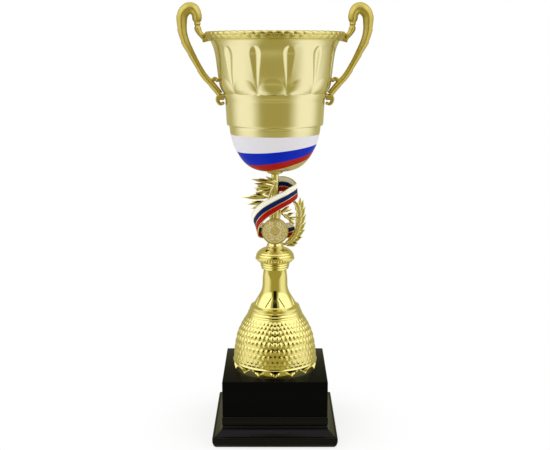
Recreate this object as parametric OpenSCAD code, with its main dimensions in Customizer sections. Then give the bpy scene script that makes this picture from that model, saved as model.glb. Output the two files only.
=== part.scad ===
// Presentation cup with scroll handles on a figure, a turned column and a square plinth.
// Millimetres, +Z up, front towards -Y, origin at the centre of the underside.

/* [Plinth] */
// Side of the square block
block_w = 107; // [90:1:140]
// How far the foot slab stands out past the block on each side
foot_out = 10; // [6:0.5:25]
// Height of the whole plinth, felt included
plinth_h = 67; // [50:1:100]
// Height of the foot slab
slab_h = 11; // [8:0.5:20]
// Height of the cove between slab and block
cove_h = 8; // [5:0.5:15]
// Wall of the hollow plinth mouldings
plinth_wall = 3; // [2:0.5:6]
// Thickness of the felt
felt_t = 1.5; // [1:0.5:4]
// Thickness of the closing board
board_t = 3; // [2:0.5:6]
// Thickness of the ballast slab
ballast_t = 16; // [8:1:24]

/* [Column] */
// Height of the bell-shaped body
bell_h = 101; // [85:1:140]
// Diameter of the bell at its foot
bell_d = 89; // [80:1:105]
// Diameter of the neck
neck_d = 26; // [22:1:32]
// Height of the knob
knob_h = 26; // [20:1:34]
// Greatest diameter of the knob
knob_d = 40.8; // [36:0.2:50]
// Wall of the column mouldings
column_wall = 2.5; // [2:0.5:4]

/* [Figure] */
// Height of the figure between the knob and the collar
figure_h = 78.5; // [70:0.5:100]
// Diameter of the medal disc
medal_d = 25; // [20:1:30]
// Thickness of the medal disc
medal_t = 1; // [0.6:0.2:2]
// Width of the ribbon
ribbon_w = 16; // [10:0.5:20]
// Thickness of the ribbon
ribbon_t = 1.8; // [1.2:0.2:3]

/* [Cup] */
// Diameter over the rim
rim_d = 140; // [120:1:170]
// Height of the ornamental rim band
rim_h = 9; // [7:0.5:14]
// Height of the fluted wall, from the step to the rim band
flute_h = 51; // [42:1:70]
// Number of flutes
flute_n = 12; // [8:1:16]
// Turn of the flutes from the front
flute_turn = -3; // [-15:1:15]
// Number of beads round the rim
bead_n = 48; // [24:2:56]
// Height of the plain band under the flutes
band_h = 34; // [26:1:45]
// Diameter of the bowl at the step under the flutes
step_d = 102.6; // [90:0.2:112]
// Height of the painted lower cup
lower_h = 43.5; // [36:0.5:60]
// Diameter at the mouth of the lower cup
lower_d = 92.4; // [80:0.2:96]
// Thickness of the drawn bowl
bowl_wall = 1; // [0.8:0.1:2]

/* [Fixings] */
// Diameter of the tie rod
rod_d = 6; // [4:0.5:10]
// Diameter of the cup stud
stud_d = 5; // [3:0.5:6]
// Diameter of the handle screws
screw_d = 3; // [2:0.5:4]
// Radial clearance round a rod or a screw
bore_gap = 0.2; // [0.1:0.05:0.5]
// Clearance between parts that plug together
fit_gap = 0.2; // [0.1:0.05:0.5]

/* [Hidden] */
$fn = 96;
eps = 0.01;

gold = "#c9b860";
black = "#141414";
steel = "#b8bcc0";

// Heights of the joints, from the table up.
felt_proud = 0.5;
collar_h = 2.5;
z_board = felt_t;
z_slab = slab_h;
z_block = slab_h + cove_h;
z_column = plinth_h;
z_knob = z_column + bell_h;
z_figure = z_knob + knob_h;
z_collar = z_figure + figure_h;
z_lower = z_collar + collar_h;
z_bowl = z_lower + lower_h;
z_step = z_bowl + band_h + 1.5;
z_rim = z_step + flute_h;
z_top = z_rim + rim_h;

// A cubic curve from p[0] to p[3], as n + 1 points.
function bezier(p, n = 12) = [
    for (i = [0:n])
        let (t = i / n, u = 1 - t)
        u * u * u * p[0] + 3 * u * u * t * p[1] + 3 * u * t * t * p[2] + t * t * t * p[3]
];

// A smooth curve through the points of a list, sampled k times a span.
function between(p, i, t) =
    let (
        n = len(p) - 1,
        a = p[max(i - 1, 0)],
        b = p[i],
        c = p[min(i + 1, n)],
        d = p[min(i + 2, n)]
    )
    0.5 * (2 * b + (c - a) * t + (2 * a - 5 * b + 4 * c - d) * t * t
        + (3 * b - a - 3 * c + d) * t * t * t);
function smooth(p, k) = concat(
    [for (i = [0:len(p) - 2]) for (j = [0:k - 1]) between(p, i, j / k)],
    [p[len(p) - 1]]
);

function unit(v) = v / norm(v);
function shifted(pts, dr) = [for (p = pts) [p[0] + dr, p[1]]];
function reversed(list) = [for (i = [len(list) - 1:-1:0]) list[i]];

module tube_bore(d, z0, z1) {
    translate([0, 0, z0 - eps])
        cylinder(d = d, h = z1 - z0 + 2 * eps, $fn = 48);
}

module hexagon_nut(d, across, h) {
    difference() {
        cylinder(d = across / cos(30), h = h, $fn = 6);
        tube_bore(d, 0, h);
    }
}

module flat_washer(d, outer, h) {
    difference() {
        cylinder(d = outer, h = h, $fn = 48);
        tube_bore(d, 0, h);
    }
}

// A solid swept through stations; each is [centre, side vector, depth vector].
module sweep(stations, sides = 12) {
    rings = len(stations);
    points = [
        for (s = stations)
            for (k = [0:sides - 1])
                s[0] + s[1] * cos(360 * k / sides) + s[2] * sin(360 * k / sides)
    ];
    skin = [
        for (i = [0:rings - 2])
            for (k = [0:sides - 1])
                let (
                    a = i * sides + k,
                    b = i * sides + (k + 1) % sides,
                    c = a + sides,
                    d = b + sides
                )
                each [[a, c, b], [b, c, d]]
    ];
    first = [for (k = [0:sides - 1]) k];
    last = [for (k = [sides - 1:-1:0]) (rings - 1) * sides + k];
    polyhedron(points, concat(skin, [first], [last]), convexity = 8);
}

// ---------------------------------------------------------------- cup ----

lip_lean = 2;
lip_r = rim_d / 2 - 3.6;
seam_r = lip_r - lip_lean;
lip_tilt = atan(lip_lean / (rim_h - 2));
step_r = step_d / 2;
lower_r = lower_d / 2;
band_tilt = atan((step_r - lower_r - 2) / band_h);

// Outer line of the bowl, from the lower edge to the lip.
bowl_edge = [
    [lower_r - 0.2, z_bowl],
    [lower_r + 1.1, z_bowl + 0.8],
    [lower_r + 1.6, z_bowl + 2.4]
];
bowl_band = [[lower_r + 2.6, z_bowl + 6], [step_r, z_step]];
flute_line = bezier([
    [step_r, z_step],
    [step_r + 9.7, z_step + 15],
    [seam_r - 8.4, z_rim - 15],
    [seam_r, z_rim]
], 16);
lip_line = [[lip_r, z_rim + rim_h - 2]];
bowl_outer = concat(bowl_edge, bowl_band, flute_line, lip_line);

// Radius of the bowl's outer face on the plain band.
function band_r(z) = lower_r + 2.6
    + (step_r - lower_r - 2.6) * (z - z_bowl - 6) / (z_step - z_bowl - 6);

// The spigot and the dished floor that sit inside the lower cup.
spigot_r = lower_r - 3.4;
spigot_h = 5;
dish_h = 14;
z_floor = z_bowl - spigot_h - dish_h;
dish_line = bezier([
    [14, z_floor],
    [30, z_floor],
    [spigot_r - 1, z_floor + 6],
    [spigot_r, z_bowl - spigot_h]
], 10);

bore_d = rod_d + 2 * bore_gap;
stud_bore_d = stud_d + 2 * bore_gap;

// The raised teardrops that part the flutes, wide at the foot of each.
rib_top_r = 0.9;
rib_foot_r = 1.9;
rib_from = 12;
rib_to = flute_h - 8;

module cup_bowl() {
    color(gold) difference() {
        union() {
            rotate_extrude(convexity = 6, $fn = 60)
                polygon(concat([[0, z_floor]], dish_line, [[spigot_r, z_bowl]], bowl_outer,
                    [[0, z_rim + rim_h - 2]]));
            for (k = [0:flute_n - 1])
                rotate([0, 0, (k + 0.5) * 360 / flute_n - 90 + flute_turn])
                    flute_rib();
        }
        rotate_extrude(convexity = 6, $fn = 60)
            polygon(concat([[0, z_floor + bowl_wall]], bowl_inner(), [[0, z_top]]));
        tube_bore(stud_bore_d, z_floor, z_floor + bowl_wall);
        handle_fixings() screw_hole(screw_d + 2 * bore_gap);
    }
}

// Radius of the bowl's outer face at a height above the step.
function flute_r(h) = lookup(h, [for (p = flute_line) [p[1] - z_step, p[0]]]);

module flute_rib() {
    foot_r = flute_r(rib_from) - rib_foot_r * 0.5;
    top_r = flute_r(rib_to) - rib_top_r * 0.2;
    lean = atan((top_r - foot_r) / (rib_to - rib_from));
    translate([foot_r, 0, z_step + rib_from]) {
        rotate([0, lean, 0])
            cylinder(r1 = rib_foot_r, r2 = rib_top_r, h = (rib_to - rib_from) / cos(lean), $fn = 24);
        sphere(r = rib_foot_r, $fn = 24);
    }
}

// Inner line of the bowl, one wall inside the outer line.
function bowl_inner() = concat(
    [for (p = dish_line) [p[0] - bowl_wall * 0.4, p[1] + bowl_wall]],
    [
        [spigot_r - bowl_wall, z_bowl],
        [lower_r - bowl_wall + 0.2, z_bowl + 2],
        [lower_r + 1.6 - bowl_wall, z_bowl + 4]
    ],
    shifted(bowl_band, -bowl_wall),
    [for (i = [1:len(flute_line) - 1]) flute_line[i] - [bowl_wall, 0]],
    [[lip_r - bowl_wall, z_rim + rim_h - 2], [lip_r - bowl_wall, z_top]]
);

rim_r = rim_d / 2;
z_lip = z_rim + rim_h - 2;
bead_r = 2.5;
hem = 1.4;
hem_t = 0.8;

// Section of the plain ring: outer flare, top, and the hem inside the lip.
hem_r = lip_r - bowl_wall - fit_gap - hem_t;
ring_line = [
    [seam_r + fit_gap, z_rim + 0.3],
    [seam_r + 2.2, z_rim],
    [rim_r - 2.2, z_rim + 3],
    [rim_r - 0.8, z_rim + 6],
    [rim_r - 1.2, z_top - 1],
    [rim_r - 2.6, z_top - 0.5],
    [hem_r, z_top - 0.4],
    [hem_r - hem * tan(lip_tilt), z_lip - hem],
    [hem_r + hem_t - hem * tan(lip_tilt), z_lip - hem]
];
// The slot that the bowl's lip sits in.
lip_slot = [
    [seam_r + fit_gap, z_rim - 1],
    [seam_r + fit_gap, z_rim],
    [lip_r + fit_gap, z_lip + fit_gap],
    [lip_r - bowl_wall - fit_gap, z_lip + fit_gap],
    [seam_r - bowl_wall - fit_gap, z_rim],
    [seam_r - bowl_wall - fit_gap, z_rim - 1]
];

module plain_ring() {
    rotate_extrude(convexity = 6)
        polygon(ring_line);
}

module rim_band() {
    color(gold) difference() {
        union() {
            plain_ring();
            for (k = [0:bead_n - 1])
                rotate([0, 0, k * 360 / bead_n])
                    translate([rim_r - bead_r, 0, z_top - bead_r])
                        rotate([0, 90, 0])
                            sphere(r = bead_r, $fn = 24);
        }
        rotate_extrude(convexity = 6)
            polygon(lip_slot);
        handle_fixings() screw_hole(screw_d + 2 * bore_gap);
    }
}

lower_curve = bezier([
    [10, z_lower],
    [30, z_lower + 0.5],
    [lower_r - 9.7, z_lower + 15],
    [lower_r - 4.5, z_lower + 25.6]
], 14);
lower_wall = 1.6;

module lower_cup() {
    color("white") difference() {
        rotate_extrude(convexity = 6)
            polygon(concat(
                [[0, z_lower]],
                lower_curve,
                [
                    [lower_r - 0.5, z_bowl - 3],
                    [lower_r - 0.2, z_bowl],
                    [spigot_r + fit_gap, z_bowl],
                    [spigot_r + fit_gap, z_bowl - spigot_h]
                ],
                reversed([for (p = lower_curve) [p[0] - lower_wall, p[1] + lower_wall]]),
                [[0, z_lower + lower_wall]]
            ));
        tube_bore(stud_bore_d, z_lower, z_lower + lower_wall);
    }
}

// ------------------------------------------------------------ handles ----

// How far a handle screw reaches past the bowl's outer face.
screw_reach = 5;
head_h = 1.8;
washer_t = 0.5;
washer_d = screw_d + 3;
// How far a flat washer stands off the round inside of the bowl.
washer_off = bowl_wall * 1.05 + 0.15;
// Height of the upper fixing over the seam, clear of the hem of the rim band.
upper_fix_h = (rim_h - 2 - hem - washer_d / 2) * 0.95;

// Centre line of a handle: [distance out, height over the rim top, half width,
// half depth], from the leaf under the rim, over the crest, down to the bowl.
handle_line = [
    [-0.2, -9.8, 0.7, 1.2],
    [1.9, -5.2, 2.0, 3.0],
    [5.3, 1.0, 3.4, 4.0],
    [6.8, 8.4, 3.4, 4.0],
    [6.0, 15.6, 4.8, 5.0],
    [9.8, 22.0, 5.6, 5.2],
    [16.2, 22.4, 5.8, 5.2],
    [21.6, 17.0, 5.7, 5.0],
    [22.7, 8.5, 5.3, 4.8],
    [21.9, -1.0, 4.6, 4.5],
    [19.3, -10.0, 4.3, 4.3],
    [14.6, -19.5, 3.7, 4.0],
    [8.5, -31.0, 3.3, 3.8]
];
boss_z = z_step - 4;
boss_r = screw_d / 2 + 1.9;
boss_len = 7;
upper_boss_r = screw_d / 2 + 0.9;
upper_boss_len = 7.5;

// Turns [distance out from the rim, height, ...] into [x, 0, z, ...] stations.
function stations(line) = [
    for (i = [0:len(line) - 1])
        let (
            a = line[max(i - 1, 0)],
            b = line[min(i + 1, len(line) - 1)],
            along = unit([b[0] - a[0], 0, b[1] - a[1]]),
            side = [along[2], 0, -along[0]]
        )
        [[line[i][0], 0, line[i][1]], side * line[i][2], [0, line[i][3], 0]]
];

// The arm's last points run to the boss on the bowl, wherever the wall is.
boss_x = band_r(boss_z);
arm_points = concat(
    [for (p = handle_line) [p[0] + rim_d / 2, p[1] + z_top, p[2], p[3]]],
    [
        [boss_x + 20, boss_z + 20.5, 3.3, 3.7],
        [boss_x + 11, boss_z + 10.5, 3.4, 3.6],
        [boss_x + 4.4, boss_z + 2.5, 3.2, 3.5]
    ]
);
// Upper curl, which bridges the arm and the fluted wall.
curl_z = z_step + 14;
curl_points = [
    [boss_x + 13.5, curl_z - 3.2, 2.0, 3.0],
    [boss_x + 10, curl_z - 0.4, 2.1, 3.0],
    [boss_x + 7.2, curl_z - 0.6, 1.5, 2.6]
];
// Lower curl, below the boss.
scroll_points = [
    [boss_x + 3.5, boss_z - 2, 2.2, 3.2],
    [boss_x + 5.2, boss_z - 5.5, 1.8, 3.0],
    [boss_x + 4.3, boss_z - 9, 1.5, 2.8],
    [boss_x + 1.9, boss_z - 10.6, 0.9, 2.4]
];

module handle_body() {
    difference() {
        union() {
            sweep(stations(smooth(arm_points, 3)), 12);
            sweep(stations(smooth(curl_points, 3)), 8);
            sweep(stations(smooth(scroll_points, 3)), 8);
            translate([boss_x + 0.3, 0, boss_z])
                rotate([0, 90 + band_tilt, 0])
                    cylinder(r = boss_r, h = boss_len, $fn = 32);
            upper_fixing()
                cylinder(r = upper_boss_r, h = upper_boss_len, $fn = 32);
        }
        fixing_pair() screw_hole(screw_d);
        plain_ring();
    }
}

// The two fixings of one handle, each along its own wall's normal.
module upper_fixing() {
    translate([seam_r + lip_lean * upper_fix_h / (rim_h - 2), 0, z_rim + upper_fix_h])
        rotate([0, 90 + lip_tilt, 0])
            children();
}

module fixing_pair() {
    upper_fixing() children();
    translate([boss_x, 0, boss_z])
        rotate([0, 90 + band_tilt, 0])
            children();
}

module handle_fixings() {
    for (side = [0, 180])
        rotate([0, 0, side])
            fixing_pair() children();
}

module screw_hole(d) {
    translate([0, 0, -4])
        cylinder(d = d, h = 4 + screw_reach, $fn = 32);
}
module screw() {
    translate([0, 0, -washer_off - washer_t])
        cylinder(d = screw_d, h = washer_off + washer_t + screw_reach, $fn = 32);
    translate([0, 0, -washer_off - washer_t - head_h])
        cylinder(d1 = screw_d + 1.2, d2 = screw_d + 2.4, h = head_h, $fn = 32);
}

module handle_left() {
    color(gold) rotate([0, 0, 180]) handle_body();
}

module handle_right() {
    color(gold) handle_body();
}

module handle_screws() {
    color(steel) handle_fixings() screw();
}

module handle_washers() {
    color(steel) handle_fixings()
        translate([0, 0, -washer_off - washer_t])
            flat_washer(screw_d, washer_d, washer_t);
}

// ---------------------------------------------------- centre fixings ----

// Common proportions of a hexagon nut.
function nut_height(d) = d * 0.8;
function nut_across(d) = d * 10 / 6;
stud_reach = 12;
cup_washer_t = 1.5;

module cup_washer() {
    color(steel) translate([0, 0, z_floor + bowl_wall])
        flat_washer(stud_d, stud_d * 3.6, cup_washer_t);
}

module cup_nut() {
    color(steel) translate([0, 0, z_floor + bowl_wall + cup_washer_t])
        hexagon_nut(stud_d, nut_across(stud_d), nut_height(stud_d));
}

module cup_stud() {
    stud_top = z_floor + bowl_wall + cup_washer_t + nut_height(stud_d) + 3;
    color(steel) translate([0, 0, z_collar - stud_reach])
        cylinder(d = stud_d, h = stud_top - z_collar + stud_reach, $fn = 48);
}

module collar() {
    color(gold) difference() {
        translate([0, 0, z_collar])
            cylinder(r1 = 7.5, r2 = 9.2, h = collar_h);
        tube_bore(stud_bore_d, z_collar, z_lower);
    }
}

// ------------------------------------------------------------- figure ----

stem_r = rod_d / 2 + 1.8;
top_r = stud_d / 2 + 1.3;
stem_line = concat(
    [[rod_d / 2 + 6.3, 0], [rod_d / 2 + 6.3, 1.5]],
    bezier([[rod_d / 2 + 5.6, 2], [rod_d / 2 + 5.2, 7], [rod_d / 2 + 2, 8], [stem_r, 15]], 8),
    bezier([
        [stem_r, figure_h - 24],
        [stem_r, figure_h - 16],
        [top_r, figure_h - 14],
        [top_r, figure_h - 6]
    ], 6),
    [[top_r, figure_h - 1.2], [top_r + 1.2, figure_h]]
);

module stem_solid() {
    translate([0, 0, z_figure])
        rotate_extrude()
            polygon(concat([[0, 0]], stem_line, [[0, figure_h]]));
}

module figure_stem() {
    color(gold) difference() {
        stem_solid();
        tube_bore(rod_d, z_figure, z_figure + stud_reach);
        tube_bore(stud_d, z_collar - stud_reach, z_collar);
    }
}

// One laurel leaf along +X from the origin: a ridged, pointed blade.
module leaf(length, width, thick = 2) {
    hull() {
        translate([length * 0.42, 0, 0])
            cylinder(d = width, h = 0.6, center = true, $fn = 12);
        translate([length * 0.4, 0, 0])
            cube([length * 0.4, 0.6, thick], center = true);
        cube([1, 1, 1.6], center = true);
        translate([length - 0.3, 0, 0])
            cube([0.6, 0.4, 0.6], center = true);
    }
}

// A round twig through a list of points, of radius r.
module twig(line, r) {
    sweep([
        for (i = [0:len(line) - 1])
            let (
                along = unit(line[min(i + 1, len(line) - 1)] - line[max(i - 1, 0)]),
                side = unit(cross([0, 1, 0], along))
            )
            [line[i] + [0, 0, z_figure], side * r, cross(along, side) * r]
    ], 8);
}

// A leaf with its stalk at a point of the twig: turned in the front plane,
// then leaning forward; spec is [step along the twig, turn, lean, length, width].
module leaves_on(line, specs) {
    for (s = specs)
        translate(line[s[0]] + [0, 0, z_figure])
            rotate([90, 0, 0])
                rotate([0, 0, s[1]])
                    rotate([0, s[2], 0])
                        leaf(s[3], s[4]);
}

// Left-hand spray: a short twig that comes off the stem under the collar and
// hangs to the left, with its leaves fanned out.
left_twig = smooth([[1.5, -4.6, 69], [-2, -6, 64], [-5, -6.5, 57], [-8, -5, 50], [-9, -3, 46]], 3);
left_leaves = [
    [0, 172, 0, 26, 4.8],
    [0, 150, 6, 13, 4.0],
    [1, 161, 6, 18, 4.4],
    [2, 172, -8, 21, 4.4],
    [3, 180, 2, 20, 4.4],
    [4, 189, 6, 18, 4.4],
    [5, 201, 8, 15, 4.2],
    [7, 170, -4, 17, 4.4],
    [7, 181, 4, 28, 5.0],
    [9, 188, -2, 21, 4.6],
    [11, 197, 4, 17, 4.4],
    [12, 214, 0, 12, 4.2]
];

module laurel_left() {
    color(gold) difference() {
        union() {
            twig(left_twig, 1.6);
            leaves_on(left_twig, left_leaves);
        }
        stem_solid();
    }
}

// Right-hand spray: a bow-shaped twig with leaves in pairs.
right_twig = smooth([
    [5.5, 0, 4],
    [13, -1, 5],
    [20, -2, 11],
    [24.5, -3, 20],
    [26.2, -3.5, 31],
    [25.8, -4, 41],
    [24.3, -4, 46]
], 3);
pair_spread = 26;
right_leaves = [
    for (i = [3:2:15])
        for (side = [-1, 1])
            let (
                way = right_twig[i + 1] - right_twig[i],
                turn = atan2(way[2], way[0])
            )
            [i + (side + 1) / 2, turn + side * pair_spread, side * 9, 12, 4.6]
];
// Small inner fan of leaves between the bow and the stem.
inner_twig = smooth([[4.2, -1, 40], [8, -3, 36], [14, -4, 31]], 3);
inner_leaves = [
    [2, 35, 4, 11, 4.6],
    [3, -30, 4, 10, 4.6],
    [4, 28, 4, 9, 4.2],
    [6, -20, 4, 8, 4.0]

];

module laurel_right() {
    color(gold) difference() {
        union() {
            twig(right_twig, 1.5);
            leaves_on(right_twig, right_leaves);
            twig(inner_twig, 1.3);
            leaves_on(inner_twig, inner_leaves);
            // Short bar that carries the inner fan from the bow.
            twig([[12, -3.6, 32], [19, -3.6, 33], [25.8, -3.4, 33]], 1);
        }
        stem_solid();
    }
}

// Centre line of the ribbon in the figure: [x, y, height].
ribbon_line = [
    [-19, 4, 56],
    [-10, 9.5, 61],
    [8, 9.5, 66],
    [22, 1, 61.5],
    [14.5, -9, 56],
    [0, -12.5, 48.5],
    [-12.5, -12.8, 40.5],
    [-19.6, -7.5, 30.5],
    [-18, 2, 20],
    [-8, 9.5, 16],
    [8, 10, 16],
    [20, 4, 19]
];

module ribbon() {
    line = smooth(ribbon_line, 4);
    color("navy") sweep([
        for (i = [0:len(line) - 1])
            let (
                p = line[i],
                along = unit(line[min(i + 1, len(line) - 1)] - line[max(i - 1, 0)]),
                outward = unit([p[0] * 0.6, p[1] - 3, 0]),
                wide = unit(cross(along, outward)),
                thin = unit(cross(along, wide))
            )
            [p + [0, 0, z_figure], wide * ribbon_w / 2, thin * ribbon_t / 2]
    ], 8);
}

medal_y = -13;
holder_rim = 0.9;
holder_t = 2.6;
holder_d = medal_d + 2 * fit_gap + 2 * holder_rim;
// The medal hangs from a fixed point under the ribbon, so a larger one reaches further down.
medal_z = z_figure + 33.6 - holder_d / 2;

module face_front(y) {
    translate([0, y, medal_z])
        rotate([90, 0, 0])
            children();
}

module medal_holder() {
    web_w = 6;
    web_h = 12;
    color(gold) difference() {
        union() {
            face_front(medal_y + holder_t)
                cylinder(d = holder_d, h = holder_t);
            translate([-web_w / 2, medal_y + 1, medal_z - web_h / 2])
                cube([web_w, -medal_y - 1, web_h]);
            hanger();
        }
        face_front(medal_y + medal_t)
            cylinder(d = medal_d + 2 * fit_gap, h = medal_t + 1);
        stem_solid();
    }
}

// The fan of four bars between the medal and the ribbon.
module hanger() {
    for (k = [-1.5:1:1.5])
        translate([k * 3, medal_y + 0.8, medal_z + holder_d / 2 - 1.5])
            rotate([0, k * 4, 0])
                translate([-0.9, 0, 0])
                    cube([1.8, 1.8, 10]);
}

module medal_disc() {
    color("#b8a878") face_front(medal_y + medal_t)
        cylinder(d = medal_d, h = medal_t);
}

// ------------------------------------------------------------- column ----

bell_r = bell_d / 2;
neck_r = neck_d / 2;
waist = bell_r - 15.5;
bell_dome = bezier([
    [bell_r, 0],
    [bell_r - 0.5, 22],
    [bell_r - 2.5, 38],
    [waist, bell_h - 44]
], 14);
bell_neck = bezier([
    [neck_r + 9.2, bell_h - 33.5],
    [neck_r + 4.4, bell_h - 24],
    [neck_r, bell_h - 21],
    [neck_r, bell_h - 11]
], 10);
bell_outer = concat(
    bell_dome,
    [
        [waist - 0.7, bell_h - 43.6],
        [waist - 1.2, bell_h - 41],
        [waist - 2.6, bell_h - 38.5],
        [waist - 3.6, bell_h - 35]
    ],
    bell_neck,
    [[neck_r, bell_h]]
);
spigot_len = 8;
plug_r = neck_r - column_wall - fit_gap;

module column_bell() {
    color(gold) translate([0, 0, z_column])
        rotate_extrude(convexity = 6)
            polygon(concat(
                bell_outer,
                [[neck_r - column_wall, bell_h]],
                reversed(bell_inside()),
                [[bell_r - column_wall, 0]]
            ));
}

// Inside of the bell: one wall in from the outer line.
function bell_inside() = concat(
    [for (i = [1:len(bell_dome) - 1]) bell_dome[i] - [column_wall, 0.4]],
    [[waist - 7.5, bell_h - 40]],
    [for (p = bell_neck) [max(p[0] - column_wall, neck_r - column_wall), p[1] - 2.4]]
);

knob_r = knob_d / 2;
knob_top_r = 12;
knob_outer = concat(
    [
        [neck_r, 0],
        [neck_r, 4.2],
        [neck_r + 1.2, 4.9],
        [neck_r + 1.5, 6.4],
        [neck_r + 2.0, 7.4],
        [neck_r + 2.3, 8.8]
    ],
    bezier([
        [neck_r + 2.6, 9.3],
        [knob_r + 2.15, 11],
        [knob_r + 2.05, knob_h - 4.5],
        [knob_top_r, knob_h]
    ], 12)
);

module column_knob() {
    color(gold) difference() {
        union() {
            translate([0, 0, z_knob])
                rotate_extrude()
                    polygon(concat([[0, 0]], knob_outer, [[0, knob_h]]));
            translate([0, 0, z_knob - spigot_len])
                cylinder(r = plug_r, h = spigot_len + 1);
        }
        tube_bore(bore_d, z_knob - spigot_len, z_figure);
    }
}

// ------------------------------------------------------------- plinth ----

inner_w = block_w - 2 * plinth_wall;
tongue_h = 6;
tongue_w = inner_w - 2 * fit_gap;
cavity_w = tongue_w - 2 * plinth_wall;
corner_r = 1;
z_ceiling = plinth_h - plinth_wall;
foot_w = block_w + 2 * foot_out;
board_w = foot_w - 9;
rebate_h = board_t + felt_t - felt_proud;

module square_block(w, z0, z1, r = corner_r) {
    translate([0, 0, z0])
        linear_extrude(z1 - z0)
            square_outline(w, r);
}

// A square with rounded corners, built of circles and squares.
module square_outline(w, r) {
    square([w - 2 * r, w], center = true);
    square([w, w - 2 * r], center = true);
    for (x = [-1, 1])
        for (y = [-1, 1])
            translate([x * (w / 2 - r), y * (w / 2 - r)])
                circle(r = r, $fn = 24);
}

module plinth_block() {
    color(black) difference() {
        square_block(block_w, z_block, plinth_h);
        translate([-inner_w / 2, -inner_w / 2, z_block - eps])
            cube([inner_w, inner_w, z_ceiling - z_block + eps]);
        tube_bore(bore_d, z_ceiling, plinth_h);
    }
}

// Steps of the cove: its side at height t, from 0 at the slab to 1.
cove_steps = 8;
cove_foot = foot_w - 4;
function cove_w(t) = block_w + (cove_foot - block_w) * (1 - sin(90 * t));

module plinth_foot() {
    color(black) difference() {
        union() {
            square_block(foot_w, felt_proud, z_slab);
            for (i = [0:cove_steps - 1])
                square_block(
                    cove_w((i + 0.5) / cove_steps),
                    z_slab + cove_h * i / cove_steps,
                    z_slab + cove_h * (i + 1) / cove_steps
                );
            translate([-tongue_w / 2, -tongue_w / 2, z_block - eps])
                cube([tongue_w, tongue_w, tongue_h]);
        }
        translate([-cavity_w / 2, -cavity_w / 2, felt_proud - eps])
            cube([cavity_w, cavity_w, z_block + tongue_h]);
        translate([-board_w / 2 - fit_gap, -board_w / 2 - fit_gap, felt_proud - eps])
            cube([board_w + 2 * fit_gap, board_w + 2 * fit_gap, rebate_h + eps]);
        at_corners()
            tube_bore(board_screw_d, z_board + board_t, z_slab);
    }
}

board_screw_d = 3;
board_screw_at = (cavity_w + board_w) / 4;

module at_corners() {
    for (x = [-1, 1])
        for (y = [-1, 1])
            translate([x * board_screw_at, y * board_screw_at, 0])
                children();
}

ballast_w = cavity_w - 8;

module ballast() {
    color("#6d6d6d") difference() {
        translate([-ballast_w / 2, -ballast_w / 2, z_ceiling - ballast_t])
            cube([ballast_w, ballast_w, ballast_t]);
        tube_bore(bore_d, z_ceiling - ballast_t, z_ceiling);
    }
}

base_washer_t = 2;
z_base_washer = z_ceiling - ballast_t - base_washer_t;

module base_washer() {
    color(steel) translate([0, 0, z_base_washer])
        flat_washer(rod_d, rod_d * 5, base_washer_t);
}

module base_nut() {
    color(steel) translate([0, 0, z_base_washer - nut_height(rod_d)])
        hexagon_nut(rod_d, nut_across(rod_d), nut_height(rod_d));
}

module tie_rod() {
    rod_foot = z_base_washer - nut_height(rod_d) - 3;
    color(steel) translate([0, 0, rod_foot])
        cylinder(d = rod_d, h = z_figure + stud_reach - rod_foot, $fn = 48);
}

module closing_board() {
    color("#5b4632") difference() {
        translate([-board_w / 2, -board_w / 2, z_board])
            cube([board_w, board_w, board_t]);
        at_corners() board_screw_shape(0);
    }
}

module board_screw_shape(extra) {
    translate([0, 0, z_board])
        cylinder(d1 = board_screw_d + 3, d2 = board_screw_d, h = 1.8, $fn = 32);
    translate([0, 0, z_board + 1])
        cylinder(d = board_screw_d, h = board_t + extra, $fn = 32);
}

module board_screws() {
    color(steel) at_corners() board_screw_shape(3);
}

module felt_pad() {
    color("#222222") translate([-board_w / 2, -board_w / 2, 0])
        cube([board_w, board_w, felt_t]);
}

cup_bowl();
rim_band();
lower_cup();
handle_left();
handle_right();
handle_screws();
handle_washers();
cup_washer();
cup_nut();
cup_stud();
collar();
figure_stem();
laurel_left();
laurel_right();
ribbon();
medal_holder();
medal_disc();
column_knob();
column_bell();
tie_rod();
plinth_block();
plinth_foot();
ballast();
base_washer();
base_nut();
closing_board();
board_screws();
felt_pad();
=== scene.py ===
from math import atan, atan2, cos, degrees, exp, hypot, pi, radians, sin, sqrt

import bmesh
import bpy
from mathutils import Matrix, Vector


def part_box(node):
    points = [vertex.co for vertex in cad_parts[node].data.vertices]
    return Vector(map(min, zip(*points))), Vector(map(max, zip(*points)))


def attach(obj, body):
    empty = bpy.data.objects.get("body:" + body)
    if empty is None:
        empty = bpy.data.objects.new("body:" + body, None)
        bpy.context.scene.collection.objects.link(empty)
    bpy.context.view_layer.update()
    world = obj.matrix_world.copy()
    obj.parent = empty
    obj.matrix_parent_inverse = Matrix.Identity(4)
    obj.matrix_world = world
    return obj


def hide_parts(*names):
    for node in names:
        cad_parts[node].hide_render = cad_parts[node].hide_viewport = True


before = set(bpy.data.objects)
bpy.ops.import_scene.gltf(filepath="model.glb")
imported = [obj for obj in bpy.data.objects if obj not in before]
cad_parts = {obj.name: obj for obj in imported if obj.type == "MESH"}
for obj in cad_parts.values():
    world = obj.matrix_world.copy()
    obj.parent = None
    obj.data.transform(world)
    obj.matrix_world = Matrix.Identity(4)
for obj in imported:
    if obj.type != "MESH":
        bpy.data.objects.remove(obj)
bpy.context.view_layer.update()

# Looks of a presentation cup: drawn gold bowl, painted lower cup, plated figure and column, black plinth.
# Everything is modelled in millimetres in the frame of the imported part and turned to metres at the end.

bl_info = {
    "name": "Presentation Cup",
    "version": (1, 0, 0),
    "blender": (4, 5, 0),
    "location": "3D View > Sidebar > Cup",
    "description": "Models the finish of each piece of a presentation cup",
    "category": "Add Mesh",
}

MM = 0.001


def low(node):
    """Lowest corner of a CAD node, in millimetres."""
    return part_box(node)[0] / MM


def high(node):
    """Highest corner of a CAD node, in millimetres."""
    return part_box(node)[1] / MM


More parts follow.
